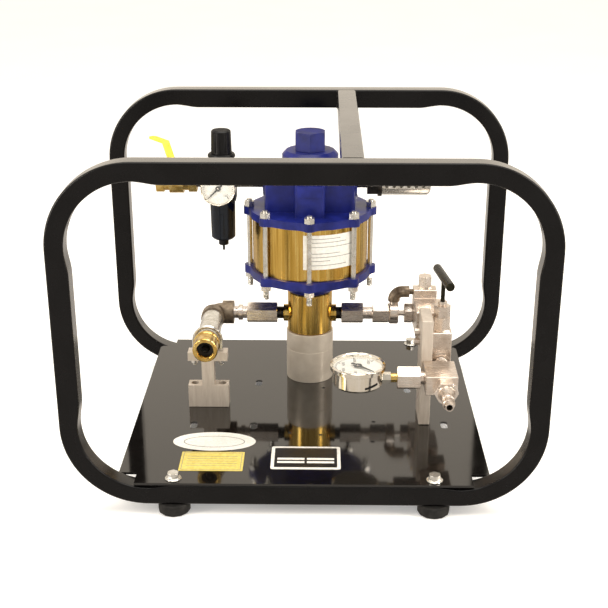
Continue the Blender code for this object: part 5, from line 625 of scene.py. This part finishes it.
def plate_form(loop, base, top, edge=0.0):
    """A flat plate over a closed loop of (x, y) points, its upper edge rounded."""
    form = bmesh.new()
    floor = [form.verts.new((x, y, base)) for x, y in loop]
    face = form.faces.new(floor)
    raised = bmesh.ops.extrude_face_region(form, geom=[face])
    upper = [each for each in raised["geom"] if isinstance(each, bmesh.types.BMVert)]
    bmesh.ops.translate(form, vec=(0, 0, top - base), verts=upper)
    bmesh.ops.recalc_face_normals(form, faces=form.faces)
    if edge:
        rim = [each for each in form.edges if all(abs(v.co.z - top) < JOIN_DISTANCE for v in each.verts)]
        bmesh.ops.bevel(form, geom=rim, offset=edge, segments=2, affect="EDGES", profile=0.5)
    return form


def ring_form(outer, inner, base, top):
    """A flat ring between two closed loops of as many points each."""
    form = bmesh.new()
    join_rings(form, [[form.verts.new((x, y, level)) for x, y in loop] for loop, level in
                      ((outer, base), (outer, top), (inner, top), (inner, base))])
    return form


def merge_forms(*forms):
    """One bmesh that holds them all, each with its faces' finish numbers."""
    whole = bmesh.new()
    for form, number in forms:
        for face in form.faces:
            face.material_index = number
        part = mesh_of(form, "part")
        whole.from_mesh(part)
        bpy.data.meshes.remove(part)
    return whole


def ellipse(half_x, half_y, x=0.0, y=0.0, count=64):
    angles = [TURN * i / count for i in range(count)]
    return [(x + half_x * math.cos(angle), y + half_y * math.sin(angle)) for angle in angles]


def rounded_rectangle(half_x, half_y, radius, x=0.0, y=0.0, corner_steps=5):
    points = []
    for quarter, (side_x, side_y) in enumerate(((1, 1), (-1, 1), (-1, -1), (1, -1))):
        for step in range(corner_steps + 1):
            angle = TURN / 4 * (quarter + step / corner_steps)
            points.append((x + side_x * (half_x - radius) + radius * math.cos(angle),
                           y + side_y * (half_y - radius) + radius * math.sin(angle)))
    return points


# Settings that a user would change


def length_prop(name, description, default):
    """A setting that is a length in metres."""
    return bpy.props.FloatProperty(name=name, description=description, default=default, unit="LENGTH")


def angle_prop(name, description, degrees):
    """A setting that is an angle, given here in degrees."""
    return bpy.props.FloatProperty(name=name, description=description, default=math.radians(degrees),
                                   subtype="ANGLE")


def count_prop(name, description, default, least=0):
    """A setting that is a count or a round value."""
    return bpy.props.IntProperty(name=name, description=description, default=default, min=least)


def plain_prop(name, description, default):
    """A setting that is a plain number."""
    return bpy.props.FloatProperty(name=name, description=description, default=default, min=0)


def colour_prop(name, description, hex_colour):
    """A setting that is a colour, given here as sRGB hex."""
    return bpy.props.FloatVectorProperty(name=name, description=description, default=linear(hex_colour)[:3],
                                         subtype="COLOR", min=0, max=1)


class ColourSettings(bpy.types.PropertyGroup):
    """Colours of the sprayed pieces."""

    coat: colour_prop("Coat", "Powder coat of the cage", "#0a090a")
    casting: colour_prop("Casting", "Enamel of the pump's castings", "#141d66")


class CageSettings(bpy.types.PropertyGroup):
    """Sizes of the cage's finish."""

    edge: length_prop("Plate edge", "Rounding of the base plate's edges", 0.0006)
    tube: length_prop("Tube", "Side of the square tube", 0.0254)
    bend: length_prop("Bend", "Outer radius of the frame's bends", 0.1)
    bend_steps: count_prop("Bend steps", "Sections in a bend", 24, 4)
    squeeze: length_prop("Squeeze", "How much thinner the tube is in a bend", 0.0036)
    squeeze_run: length_prop("Squeeze run", "Length over which the squeeze fades", 0.03)
    bead: length_prop("Weld bead", "Radius of the weld bead at the crossbar", 0.0013)
    bead_spacing: length_prop("Bead spacing", "Distance between drops of weld", 0.0014)


class FittingSettings(bpy.types.PropertyGroup):
    """Sizes of the edges and threads on the pump and its fittings."""

    edge: length_prop("Edge", "Rounding of machined edges", 0.0004)
    cast_edge: length_prop("Cast edge", "Rounding of painted castings", 0.0012)
    rod_pitch: length_prop("Rod pitch", "Thread pitch of the tie rods", 0.00125)
    pipe_pitch: length_prop("Pipe pitch", "Thread pitch of the pipe nipples", 0.0018)


class DialSettings(bpy.types.PropertyGroup):
    """Sizes and numbers of the two dials."""

    major: count_prop("Numbered marks", "Numbered marks on the test dial", 6, 2)
    minor: count_prop("Fine marks", "Fine marks between two numbered ones", 10, 1)
    step: count_prop("Number step", "Value from one numbered mark to the next", 2000)
    sweep: angle_prop("Sweep", "Angle from the first mark to the last", 270)


class StageSettings(bpy.types.PropertyGroup):
    """The camera's place and the strength of the light."""

    camera: bpy.props.FloatVectorProperty(name="Camera", description="Where the camera stands",
                                          default=(0.02056, -1.44001, 0.7271), subtype="TRANSLATION")
    pitch: angle_prop("Pitch", "How far the camera looks down", 22.326)
    yaw: angle_prop("Yaw", "How far the camera turns to its left", 0.942)
    lens: plain_prop("Lens", "Focal length on a 36 mm sensor", 69.24)
    rise: plain_prop("Rise", "Upward shift of the frame", 0.0592)
    sky: plain_prop("Surround", "Strength of the pale surround", 1.0)
    floor_glow: plain_prop("Floor glow", "Light of the backdrop paper itself", 0.3)
    mirrored_floor: plain_prop("Mirrored floor", "Brightness of the floor as a glossy face mirrors it", 0.68)
    softbox: bpy.props.FloatProperty(name="Softbox", description="Power of the overhead softbox",
                                     default=30.0, subtype="POWER")


SETTINGS = {"pump_colours": ColourSettings, "pump_cage": CageSettings, "pump_fittings": FittingSettings,
            "pump_dials": DialSettings, "pump_stage": StageSettings}


# Which faces of a joined piece have which finish


PEDESTAL_HEIGHT = 71 * MM
SEAT_GAP = 0.3 * MM
CAGE_HEIGHT = 416 * MM
NEAR = 0.1 * MM
PLATE_TOP = high("pump_pedestal").z - PEDESTAL_HEIGHT - SEAT_GAP
FRAME_FLOOR = high("front_frame").z - CAGE_HEIGHT
FOOT_X, RAIL_Y = abs(middle("front_left_foot").x), middle("front_left_foot").y
PUMP_X, PUMP_Y = middle("pump_pedestal").xy
AIR_LINE = middle("regulator_nipple").z
WATER_LINE = middle("inlet_pipe").z
ROD_CIRCLE = 82.5 * MM
NUT_REACH = 7.5 * MM
# Where the pipe threads of three fittings end, and where the brass socket of the test gauge begins
SILENCER_THREAD_END = 99.8 * MM
INLET_THREAD_START = -42.5 * MM
OUTLET_THREAD_END = 48.2 * MM
GAUGE_SOCKET_START = 98 * MM


def within(corner_low, corner_high):
    """A test for faces that lie wholly between two corners."""
    return lambda face: all(least <= at <= most for vert in face.verts
                            for least, at, most in zip(corner_low, vert.co, corner_high))


def below(level):
    return within((-1, -1, -1), (1, 1, level))


def left_of(x):
    return within((-1, -1, -1), (x, 1, 1))


def right_of(x):
    return within((x, -1, -1), (1, 1, 1))


ROD_PLACES = [(PUMP_X + ROD_CIRCLE * math.cos(TURN * i / 8), PUMP_Y + ROD_CIRCLE * math.sin(TURN * i / 8))
              for i in range(8)]


def rod_faces(face):
    """True for a face of a tie rod or of its nuts."""
    corners = [vert.co for vert in face.verts]
    return any(all(math.hypot(at.x - x, at.y - y) <= NUT_REACH for at in corners) for x, y in ROD_PLACES)


# Each row: a node's finish, the rounding of its edges, and the finishes of its other faces
CAGE_NODES = {
    "top_crossbar": ("coat", 0.0),
    "base_plate": ("enamel", "plate"),
    **{f"{end}_{side}_foot": ("rubber", 0.5 * MM) for end in ("front", "rear") for side in ("left", "right")},
}
MOTOR_NODES = {
    "pump_pedestal": ("turned", "edge", ("zinc", below(PLATE_TOP + NEAR))),
    "hydraulic_body": ("gold", "edge"),
    "lower_flange": ("blue", "cast", ("zinc", rod_faces)),
    "air_barrel": ("gold", "edge"),
    "air_head": ("blue", "cast"),
    "valve_cap": ("blue", "cast"),
}
AIR_NODES = {
    "exhaust_muffler": ("zinc", "edge", ("pipe", left_of(SILENCER_THREAD_END))),
    "regulator_nipple": ("pipe", 0.0),
    "supply_nipple": ("pipe", 0.0),
    "regulator_body": ("nylon", "edge"),
    "regulator_knob": ("nylon", "edge"),
    "adjusting_screw": ("stainless", 0.0),
    "filter_bowl": ("bowl", "edge"),
    "drain_cock": ("nylon", "edge"),
    "regulator_gauge": ("polished", "edge"),
    "regulator_pointer": ("black", 0.0),
    "ball_valve_body": ("brass", "edge"),
    "ball_valve_lever": ("vinyl", 0.8 * MM),
    "valve_ball": ("zinc", 0.0),
}
INLET_NODES = {
    "inlet_check_valve": ("stainless", "edge", ("pipe", right_of(INLET_THREAD_START))),
    "inlet_nipple": ("stainless", "edge"),
    "inlet_elbow": ("iron", "edge"),
    "inlet_pipe": ("zinc", "edge"),
    "hose_swivel": ("brass", "edge"),
    "hose_washer": ("rubber", 0.0),
    "inlet_bracket": ("milled", "edge"),
    "pipe_u_bolt": ("zinc", 0.0),
}
OUTLET_NODES = {
    "outlet_check_valve": ("stainless", "edge", ("pipe", left_of(OUTLET_THREAD_END))),
    "outlet_adapter": ("stainless", "edge"),
    "outlet_tee": ("stainless", "edge"),
    "tube_nut": ("stainless", "edge"),
    "relief_elbow": ("iron", "edge"),
    "relief_block": ("stainless", "edge"),
    "manifold_block": ("stainless", "edge"),
    "link_nipple": ("stainless", 0.0),
    "valve_body": ("stainless", "edge"),
    "valve_bonnet": ("stainless", "edge"),
    "t_handle": ("oxide", "edge"),
    "support_bar": ("milled", "edge", ("zinc", below(PLATE_TOP + NEAR))),
    "outlet_block": ("stainless", "edge"),
    "outlet_fitting": ("stainless", "edge"),
    "gauge_adapter": ("stainless", "edge"),
    "test_gauge": ("polished", "edge", ("brass", right_of(GAUGE_SOCKET_START))),
    "test_gauge_pointer": ("black", 0.0),
}
INNER_NODES = {
    "air_piston": "turned",
    "piston_seal": "rubber",
    "plunger": "stainless",
    "gland_packing": "rubber",
    "spool_valve": "stainless",
    "inlet_check_ball": "stainless",
    "outlet_check_ball": "stainless",
    "valve_needle": "stainless",
}


def dress_table(scene, table):
    """Dresses every node of a table; a named edge takes its width from the settings."""
    fittings = scene.pump_fittings
    widths = {"edge": fittings.edge, "cast": fittings.cast_edge, "plate": scene.pump_cage.edge}
    for node, (key, edge, *regions) in table.items():
        dress_node(node, key, widths.get(edge, edge), regions)


ALONG = {"X": (0.0, TURN / 4, 0.0), "Y": (-TURN / 4, 0.0, 0.0), "Z": (0.0, 0.0, 0.0)}
NIPPLE_CORE = 8.5
# For each finish of a thread: its body, its slot and the setting that is its pitch
THREAD_KINDS = {
    "zinc": ("pump_unit", "zinc", "rod_pitch"),
    "pipe": ("pump_unit", "dark_steel", "pipe_pitch"),
    "stainless": ("pump_unit", "stainless", "pipe_pitch"),
    "brass": ("swivel", "brass", "pipe_pitch"),
}
# Each row: name, finish, axis, then core radius, length and ridge in mm, and its threads' starts in metres
THREADS = (
    ("rod_threads_low", "zinc", "Z", 3.5, 12.4, 0.35, [(x, y, 0.1795) for x, y in ROD_PLACES]),
    ("rod_threads_top", "zinc", "Z", 3.5, 2.7, 0.35, [(x, y, 0.2996) for x, y in ROD_PLACES]),
    ("u_bolt_threads", "zinc", "Z", 2.6, 3.4, 0.3, [(x, -0.0063, 0.1024) for x in (-0.149, -0.113)]),
    ("air_pipe_threads", "pipe", "X", NIPPLE_CORE, 4.6, 0.45,
     [(x, PUMP_Y, AIR_LINE) for x in (-0.0955, -0.0644, -0.1480, -0.1390, 0.0668, 0.0752)]),
    ("inlet_pipe_threads", "pipe", "X", NIPPLE_CORE, 7.8, 0.45, [(-0.0416, PUMP_Y, WATER_LINE)]),
    ("outlet_pipe_threads", "pipe", "X", NIPPLE_CORE, 6.3, 0.45, [(0.0410, PUMP_Y, WATER_LINE)]),
    ("inlet_nipple_threads", "stainless", "X", NIPPLE_CORE, 4.2, 0.4,
     [(x, PUMP_Y, WATER_LINE) for x in (-0.1026, -0.0893)]),
    ("outlet_nipple_threads", "stainless", "X", NIPPLE_CORE, 4.4, 0.4,
     [(x, PUMP_Y, WATER_LINE) for x in (0.0785, 0.0866)]),
    ("gauge_nipple_threads", "stainless", "X", NIPPLE_CORE, 4.2, 0.4, [(0.1453, -0.090, 0.122)]),
    ("link_nipple_threads", "stainless", "Y", NIPPLE_CORE, 4.4, 0.4,
     [(0.1747, y, 0.1425) for y in (-0.0228, 0.0258)]),
    ("valve_nipple_threads", "stainless", "Y", NIPPLE_CORE, 12.6, 0.4, [(0.1747, -0.0646, 0.1255)]),
    ("outlet_fitting_threads", "stainless", "Y", 7.5, 18.5, 0.4, [(0.174, -0.1664, 0.1207)]),
    ("hose_socket_threads", "brass", "Y", 11.8, 6.5, 0.5, [(-0.131, -0.0440, WATER_LINE)]),
)


def text_form(words, size, thickness):
    """Lettering as a thin closed mesh in the XY plane, centred on its middle."""
    curve = bpy.data.curves.new("digits", "FONT")
    curve.body = words
    curve.size = size
    curve.extrude = thickness / 2
    curve.align_x = "CENTER"
    curve.align_y = "CENTER"
    curve.resolution_u = 4
    thing = set_out("digits", curve)
    bpy.context.view_layer.update()
    mesh = bpy.data.meshes.new_from_object(thing.evaluated_get(bpy.context.evaluated_depsgraph_get()))
    form = bmesh.new()
    form.from_mesh(mesh)
    bpy.data.objects.remove(thing)
    bpy.data.meshes.remove(mesh)
    bmesh.ops.remove_doubles(form, verts=form.verts, dist=JOIN_DISTANCE)
    return form


CARD = 0.3 * MM
INK = 0.05 * MM
GLASS_EDGE = 0.9 * MM
GLASS_CROWN = 1.1 * MM
# Each row: label, inner end and width as shares of the dial's radius
MARKS = (("major_marks", 0.78, 0.05), ("minor_marks", 0.85, 0.022))
MARK_END = 0.93
NUMBER_REACH = 0.64


def disc_form(radius, base, rim, crown, count=48):
    """A disc about Z, whose top may be higher at the middle than at the rim."""
    return spun_form([(0, base), (radius, base), (radius, rim), (0, crown)], count)


def make_dial(name, place, tilt, radius, floor, lens, zero, minors, values, digit, upright, sweep):
    """A dial card with its marks, numbers and glass.

    place is the centre of the case's face and tilt turns local Z out of it; floor and lens are heights above
    it. upright turns each number about the dial's axis, and the marks run clockwise from zero.
    """
    turn = Matrix.Translation(place) @ Matrix.Rotation(tilt, 4, "X")
    up = floor + CARD
    card = disc_form(radius, floor, up, up)
    card.transform(turn)
    new_piece(name + "_card", card, "white", slot="stainless")
    spaces = len(values) - 1
    for (label, inner, width), count in zip(MARKS, (spaces + 1, spaces * minors + 1)):
        half = width * radius / 2
        mark = block_form((inner * radius, -half, 0), (MARK_END * radius, half, INK))
        grow(f"{name}_{label}", mark, ring_tree(), "pump_unit", "stainless", "black", Count=count, Start=zero,
             Step=-sweep / (count - 1), Centre=turn @ Vector((0, 0, up)), Tilt=(tilt, 0.0, 0.0))
    numbers = []
    reach = NUMBER_REACH * radius
    for index, value in enumerate(values):
        angle = zero - sweep * index / spaces
        at = Matrix.Translation((reach * math.cos(angle), reach * math.sin(angle), up + INK))
        number = text_form(value, digit, INK)
        number.transform(turn @ at @ Matrix.Rotation(upright, 4, "Z"))
        numbers.append((number, 0))
    new_piece(name + "_numbers", merge_forms(*numbers), "black", slot="stainless")
    glass = disc_form(radius, lens, lens + GLASS_EDGE, lens + GLASS_CROWN)
    glass.transform(turn)
    new_piece(name + "_glass", glass, "glass", slot="stainless")


def curved_strip(axis, radius, start, end, base, top, thickness, columns=14, rise=0.0):
    """A thin strip round an upright axis between two angles from the front, closed all round."""
    form = bmesh.new()
    rings = []
    for column in range(columns + 1):
        share = column / columns
        angle = start + (end - start) * share
        outward = Vector((math.sin(angle), -math.cos(angle), 0))
        rings.append([form.verts.new(Vector((*axis, level + rise * share)) + outward * (radius + lift))
                      for level, lift in ((base, 0), (base, thickness), (top, thickness), (top, 0))])
    join_rings(form, rings, closed=False)
    return form


# Where the faces of the two gauge cases are, and where the vent of the larger one climbs round it
TEST_DIAL = (66 * MM, -90 * MM, 142 * MM)
AIR_DIAL = (-117 * MM, 52 * MM, AIR_LINE)
AIR_DIAL_VALUES = [str(40 * i) for i in range(5)]
VENT_RADIUS = 31.4 * MM
VENT_START, VENT_END = math.radians(16), math.radians(49.6)
VENT_BASE, VENT_TOP, VENT_RISE = 118.2 * MM, 120.6 * MM, 3 * MM


# Labels, bare but for rings and rules


LABEL_BASE = PLATE_TOP + 0.02 * MM
LABEL_TOP = LABEL_BASE + 0.25 * MM
NAMEPLATE_TOP = LABEL_TOP + 0.4 * MM
SUNK = 0.01 * MM
BARREL = 78.5 * MM
# Levels of the barrel label's rules in mm, and how many steps, in radians, each stops short of its end
BARREL_RULES = ((269, 5), (264, 3), (258, 1), (249, 5), (244, 1), (239, 8), (233, 3))
RULE_STEP = 0.06


def oval_label(x, y):
    """A white oval with a grey ring."""
    oval = plate_form(ellipse(52.5 * MM, 25.5 * MM, x, y), LABEL_BASE, LABEL_TOP)
    ring = ring_form(ellipse(39 * MM, 15.5 * MM, x, y - MM), ellipse(37.6 * MM, 14.4 * MM, x, y - MM),
                     LABEL_TOP - SUNK, LABEL_TOP + INK)
    new_piece("oval_label", merge_forms((oval, 0), (ring, 1)), "white", "grey_ink", slot="zinc")


def yellow_label(x, y):
    """A yellow card with a grey border and five rules."""
    under, over = LABEL_TOP - SUNK, LABEL_TOP + INK
    card = plate_form(rounded_rectangle(39 * MM, 24.5 * MM, 1.2 * MM, x, y), LABEL_BASE, LABEL_TOP)
    border = ring_form(rounded_rectangle(36.4 * MM, 21.8 * MM, MM, x, y),
                       rounded_rectangle(35.7 * MM, 21.1 * MM, 0.8 * MM, x, y), under, over)
    rules = [(block_form((x - 31 * MM, y + row * MM, under), (x + 31 * MM, y + (row + 0.7) * MM, over)), 1)
             for row in (-12, -6, 0, 6, 12)]
    whole = merge_forms((card, 0), (border, 1), *rules)
    new_piece("yellow_label", whole, "yellow", "grey_ink", slot="yellow_coat")


def nameplate(x, y):
    """A black plate with a white border and four blank fields."""
    ink = NAMEPLATE_TOP + INK
    rim = rounded_rectangle(42.8 * MM, 29.3 * MM, 3 * MM, x, y)
    plate = plate_form(rim, LABEL_BASE, NAMEPLATE_TOP, 0.15 * MM)
    panel = plate_form(rounded_rectangle(38.6 * MM, 25.1 * MM, 2 * MM, x, y), NAMEPLATE_TOP - SUNK, ink)
    fields = [(block_form((x + left * MM, y + row * MM, ink - SUNK),
                          (x + right * MM, y + (row + 5) * MM, ink + INK - SUNK)), 0)
              for row in (-6, -14.5) for left, right in ((-35, -1.5), (1.5, 35))]
    new_piece("nameplate", merge_forms((plate, 0), (panel, 1), *fields), "white", "nameplate", slot="zinc")


def barrel_label(start, end):
    """A white card round the barrel between two angles, with grey rules of unlike length."""
    axis = (PUMP_X, PUMP_Y)
    card = curved_strip(axis, BARREL + 0.02 * MM, start, end, 227.5 * MM, 274.5 * MM, 0.2 * MM)
    rules = [(curved_strip(axis, BARREL + 0.2 * MM, start + RULE_STEP, end - RULE_STEP * short, level * MM,
                           (level + 0.8) * MM, 0.06 * MM), 1) for level, short in BARREL_RULES]
    new_piece("barrel_label", merge_forms((card, 0), *rules), "white", "grey_ink", slot="zinc")


# Operators, one for each group of pieces


class PUMP_OT_dress_cage(bpy.types.Operator):
    """Coats the bent frames, the crossbar, the plate and the feet, and runs the welds of the crossbar"""

    bl_idname = "pump.dress_cage"
    bl_label = "Dress the Cage"

    def execute(self, context):
        settings = context.scene.pump_cage
        dress_table(context.scene, CAGE_NODES)
        bent_frame("front_frame", settings)
        bent_frame("rear_frame", settings)
        bar_low, bar_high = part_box("top_crossbar")
        form = bmesh.new()
        for end in (bar_low.y, bar_high.y):
            corners = [form.verts.new((x, end, z)) for x, z in (
                (bar_low.x, bar_high.z - 2 * MM), (bar_low.x, bar_low.z), (bar_high.x, bar_low.z),
                (bar_high.x, bar_high.z - 2 * MM))]
            for pair in zip(corners, corners[1:]):
                form.edges.new(pair)
        grow("crossbar_welds", form, bead_tree(), "pump_unit", "black_paint", "coat",
             Spacing=settings.bead_spacing, Radius=settings.bead, Seed=4)
        return {"FINISHED"}


class PUMP_OT_dress_motor(bpy.types.Operator):
    """Finishes the pedestal, the gold body and barrel, the blue castings and the pieces inside them"""

    bl_idname = "pump.dress_motor"
    bl_label = "Dress the Air Motor"

    def execute(self, context):
        dress_table(context.scene, MOTOR_NODES)
        for node, key in INNER_NODES.items():
            frame["nodes"][node].data.materials.clear()
            frame["nodes"][node].data.materials.append(finish(key))
        return {"FINISHED"}


class PUMP_OT_dress_air_line(bpy.types.Operator):
    """Finishes the silencer, the regulator and the ball valve, and adds a felt and the nut of the lever"""

    bl_idname = "pump.dress_air_line"
    bl_label = "Dress the Air Line"

    def execute(self, context):
        dress_table(context.scene, AIR_NODES)
        felt = disc_form(14.2 * MM, 101 * MM, 157 * MM, 157 * MM, 32)
        felt.transform(Matrix.Translation((0, PUMP_Y, AIR_LINE)) @ Matrix.Rotation(TURN / 4, 4, "Y"))
        new_piece("silencer_felt", felt, "felt", slot="stainless")
        base = low("ball_valve_lever").z + 2.9 * MM
        nut = plate_form(ellipse(5.6 * MM, 5.6 * MM, count=6), base, base + 3.4 * MM, 0.5 * MM)
        washer = disc_form(6.6 * MM, base - 0.2 * MM, base + 0.6 * MM, base + 0.6 * MM, 24)
        both = merge_forms((nut, 0), (washer, 0))
        both.transform(Matrix.Translation((middle("ball_valve_body").x, PUMP_Y, 0)))
        new_piece("lever_nut", both, "zinc", body="lever", slot="zinc")
        return {"FINISHED"}


class PUMP_OT_dress_water_line(bpy.types.Operator):
    """Finishes the inlet, the outlet, the needle valve and the test gauge"""

    bl_idname = "pump.dress_water_line"
    bl_label = "Dress the Water Line"

    def execute(self, context):
        dress_table(context.scene, INLET_NODES)
        dress_table(context.scene, OUTLET_NODES)
        return {"FINISHED"}


class PUMP_OT_cut_threads(bpy.types.Operator):
    """Winds the threads of the rods, the U-bolt, the nipples and the hose socket"""

    bl_idname = "pump.cut_threads"
    bl_label = "Cut the Threads"

    def execute(self, context):
        settings = context.scene.pump_fittings
        for name, key, axis, core, run, ridge, starts in THREADS:
            body, slot, pitch = THREAD_KINDS[key]
            grow(name, points_form(starts), thread_tree(), body, slot, key, Core_Radius=core * MM,
                 Pitch=getattr(settings, pitch), Length=run * MM, Depth=ridge * MM, Tilt=ALONG[axis])
        return {"FINISHED"}


class PUMP_OT_fit_dials(bpy.types.Operator):
    """Fits both gauges with a card, marks, numbers and a glass, and the test gauge with its vent strip"""

    bl_idname = "pump.fit_dials"
    bl_label = "Fit the Dials"

    def execute(self, context):
        settings = context.scene.pump_dials
        values = [str(settings.step * i) for i in range(settings.major)]
        make_dial("test_dial", TEST_DIAL, tilt=0.0, radius=31.2 * MM, floor=-5.9 * MM, lens=-2.8 * MM,
                  zero=-TURN / 8, minors=settings.minor, values=values, digit=5.4 * MM, upright=TURN / 4,
                  sweep=settings.sweep)
        make_dial("air_dial", AIR_DIAL, tilt=TURN / 4, radius=21.2 * MM, floor=-3.9 * MM, lens=-1.3 * MM,
                  zero=TURN * 5 / 8, minors=8, values=AIR_DIAL_VALUES, digit=4.6 * MM, upright=0.0,
                  sweep=settings.sweep)
        vent = curved_strip(TEST_DIAL[:2], VENT_RADIUS, VENT_START, VENT_END, VENT_BASE, VENT_TOP, 0.7 * MM,
                            columns=8, rise=VENT_RISE)
        new_piece("gauge_vent_strip", vent, "rubber", slot="rubber")
        return {"FINISHED"}


class PUMP_OT_lay_labels(bpy.types.Operator):
    """Lays the bare labels on the plate and the ruled one on the barrel"""

    bl_idname = "pump.lay_labels"
    bl_label = "Lay the Labels"

    def execute(self, context):
        oval_label(-115 * MM, -116 * MM)
        yellow_label(-113.5 * MM, -169.2 * MM)
        nameplate(1.7 * MM, -158.8 * MM)
        barrel_label(math.radians(-6), math.radians(48))
        return {"FINISHED"}


FLOOR_REACH = 9.0
# How far from the plate's middle the paper's own light begins and where it is full; nearer in it is left out,
# a painted shadow under the plate
PAINTED_SHADOW_CORE, PAINTED_SHADOW_EDGE = 0.15, 0.22
# Each light: name, place, what it looks at, its size, its share of the softbox's power and its tint
LIGHTS = (
    ("overhead_softbox", (0.1, -0.2, 2.0), (0, 0, 0), (1.8, 1.8), 1.0, "#fffaf2"),
    ("left_strip", (-1.5, -0.9, 0.8), (0, 0, 0.25), (0.25, 1.4), 0.6, "#fff6ea"),
    ("right_strip", (1.5, -0.7, 0.9), (0, 0, 0.25), (0.25, 1.4), 0.6, "#fff6ea"),
)


class PUMP_OT_set_stage(bpy.types.Operator):
    """Sets the pale floor, the soft light, the surround and the camera at the photograph's angle"""

    bl_idname = "pump.set_stage"
    bl_label = "Set the Stage"

    def execute(self, context):
        scene = context.scene
        settings = scene.pump_stage
        scene.view_settings.view_transform = "Standard"
        form = bmesh.new()
        bmesh.ops.create_grid(form, x_segments=8, y_segments=8, size=FLOOR_REACH)
        floor = set_out("paper_floor", mesh_of(form, "paper_floor"))
        # White paper, unrolled: matt and hardly clouded, and dimmer where a glossy face mirrors it
        material, tree, shader = new_finish("paper_backdrop_white", linear("#fbfaf8"), 0.0, 0.9,
                                            Emission_Color=linear("#ffffff"))
        cloud = pattern(tree, 300, 2.0)
        away = add(tree, "ShaderNodeVectorMath", {"operation": "LENGTH"}, n0=places(tree)).outputs["Value"]
        # Painted shadow under the plate: the paper's own light is left out near the plate's middle and fades
        # in outward
        glow_past_painted_shadow = steps(tree, away, (PAINTED_SHADOW_CORE, 0.0), (PAINTED_SHADOW_EDGE, settings.floor_glow))
        tree.links.new(steps(tree, cloud, (0.3, "#faf9f7"), (0.7, "#fcfcfb")), shader.inputs["Base Color"])
        tree.links.new(glow_past_painted_shadow, shader.inputs["Emission Strength"])
        dim = add(tree, "ShaderNodeEmission", Color=linear("#fff4e6"), Strength=settings.mirrored_floor)
        glossy = add(tree, "ShaderNodeLightPath").outputs["Is Glossy Ray"]
        seen = add(tree, "ShaderNodeMixShader", n0=glossy, n1=shader.outputs[0], n2=dim.outputs[0])
        tree.links.new(seen.outputs[0], tree.nodes["Material Output"].inputs["Surface"])
        floor.data.materials.append(material)
        world = bpy.data.worlds.new("studio_surround")
        world.use_nodes = True
        scene.world = world
        tree = world.node_tree
        background = tree.nodes["Background"]
        toward = add(tree, "ShaderNodeTexCoord").outputs["Generated"]
        depth = add(tree, "ShaderNodeSeparateXYZ", Vector=toward).outputs["Y"]
        forward = add(tree, "ShaderNodeMapRange", Value=depth, n1=-1.0, n2=1.0).outputs[0]
        room = steps(tree, forward, (0.0, "#c3beb6"), (0.4, "#d2ccc2"), (0.62, "#fff6e9"), (1.0, "#fff2df"))
        tree.links.new(room, background.inputs["Color"])
        background.inputs["Strength"].default_value = settings.sky
        for name, place, target, size, share, tint in LIGHTS:
            lamp = bpy.data.lights.new(name, "AREA")
            lamp.shape = "RECTANGLE"
            lamp.size, lamp.size_y = size
            lamp.energy = settings.softbox * share
            lamp.color = linear(tint)[:3]
            light = set_out(name, lamp)
            light.location = place
            light.rotation_euler = (Vector(target) - Vector(place)).to_track_quat("-Z", "Y").to_euler()
        camera = set_out("camera", bpy.data.cameras.new("camera"))
        camera.location = settings.camera
        camera.rotation_euler = (TURN / 4 - settings.pitch, 0.0, settings.yaw)
        camera.data.lens = settings.lens
        camera.data.shift_y = settings.rise
        camera.data.clip_start, camera.data.clip_end = 0.05, 40.0
        scene.camera = camera
        return {"FINISHED"}


OPERATORS = (PUMP_OT_dress_cage, PUMP_OT_dress_motor, PUMP_OT_dress_air_line, PUMP_OT_dress_water_line,
             PUMP_OT_cut_threads, PUMP_OT_fit_dials, PUMP_OT_lay_labels, PUMP_OT_set_stage)


class PUMP_PT_finishes(bpy.types.Panel):
    """Lists the steps and their settings"""

    bl_label = "Test Pump"
    bl_idname = "PUMP_PT_finishes"
    bl_space_type = "VIEW_3D"
    bl_region_type = "UI"
    bl_category = "Test Pump"

    def draw(self, context):
        for group, kind in SETTINGS.items():
            box = self.layout.box()
            for name in kind.__annotations__:
                box.prop(getattr(context.scene, group), name)
        for operator in OPERATORS:
            self.layout.operator(operator.bl_idname)


CLASSES = (*SETTINGS.values(), *OPERATORS, PUMP_PT_finishes)


def register():
    for each in CLASSES:
        bpy.utils.register_class(each)
    for name, kind in SETTINGS.items():
        setattr(bpy.types.Scene, name, bpy.props.PointerProperty(type=kind))


def unregister():
    for name in SETTINGS:
        delattr(bpy.types.Scene, name)
    for each in reversed(CLASSES):
        bpy.utils.unregister_class(each)


def main():
    register()
    bpy.ops.pump.dress_cage()
    bpy.ops.pump.dress_motor()
    bpy.ops.pump.dress_air_line()
    bpy.ops.pump.dress_water_line()
    bpy.ops.pump.cut_threads()
    bpy.ops.pump.fit_dials()
    bpy.ops.pump.lay_labels()
    bpy.ops.pump.set_stage()


if __name__ == "__main__":
    main()
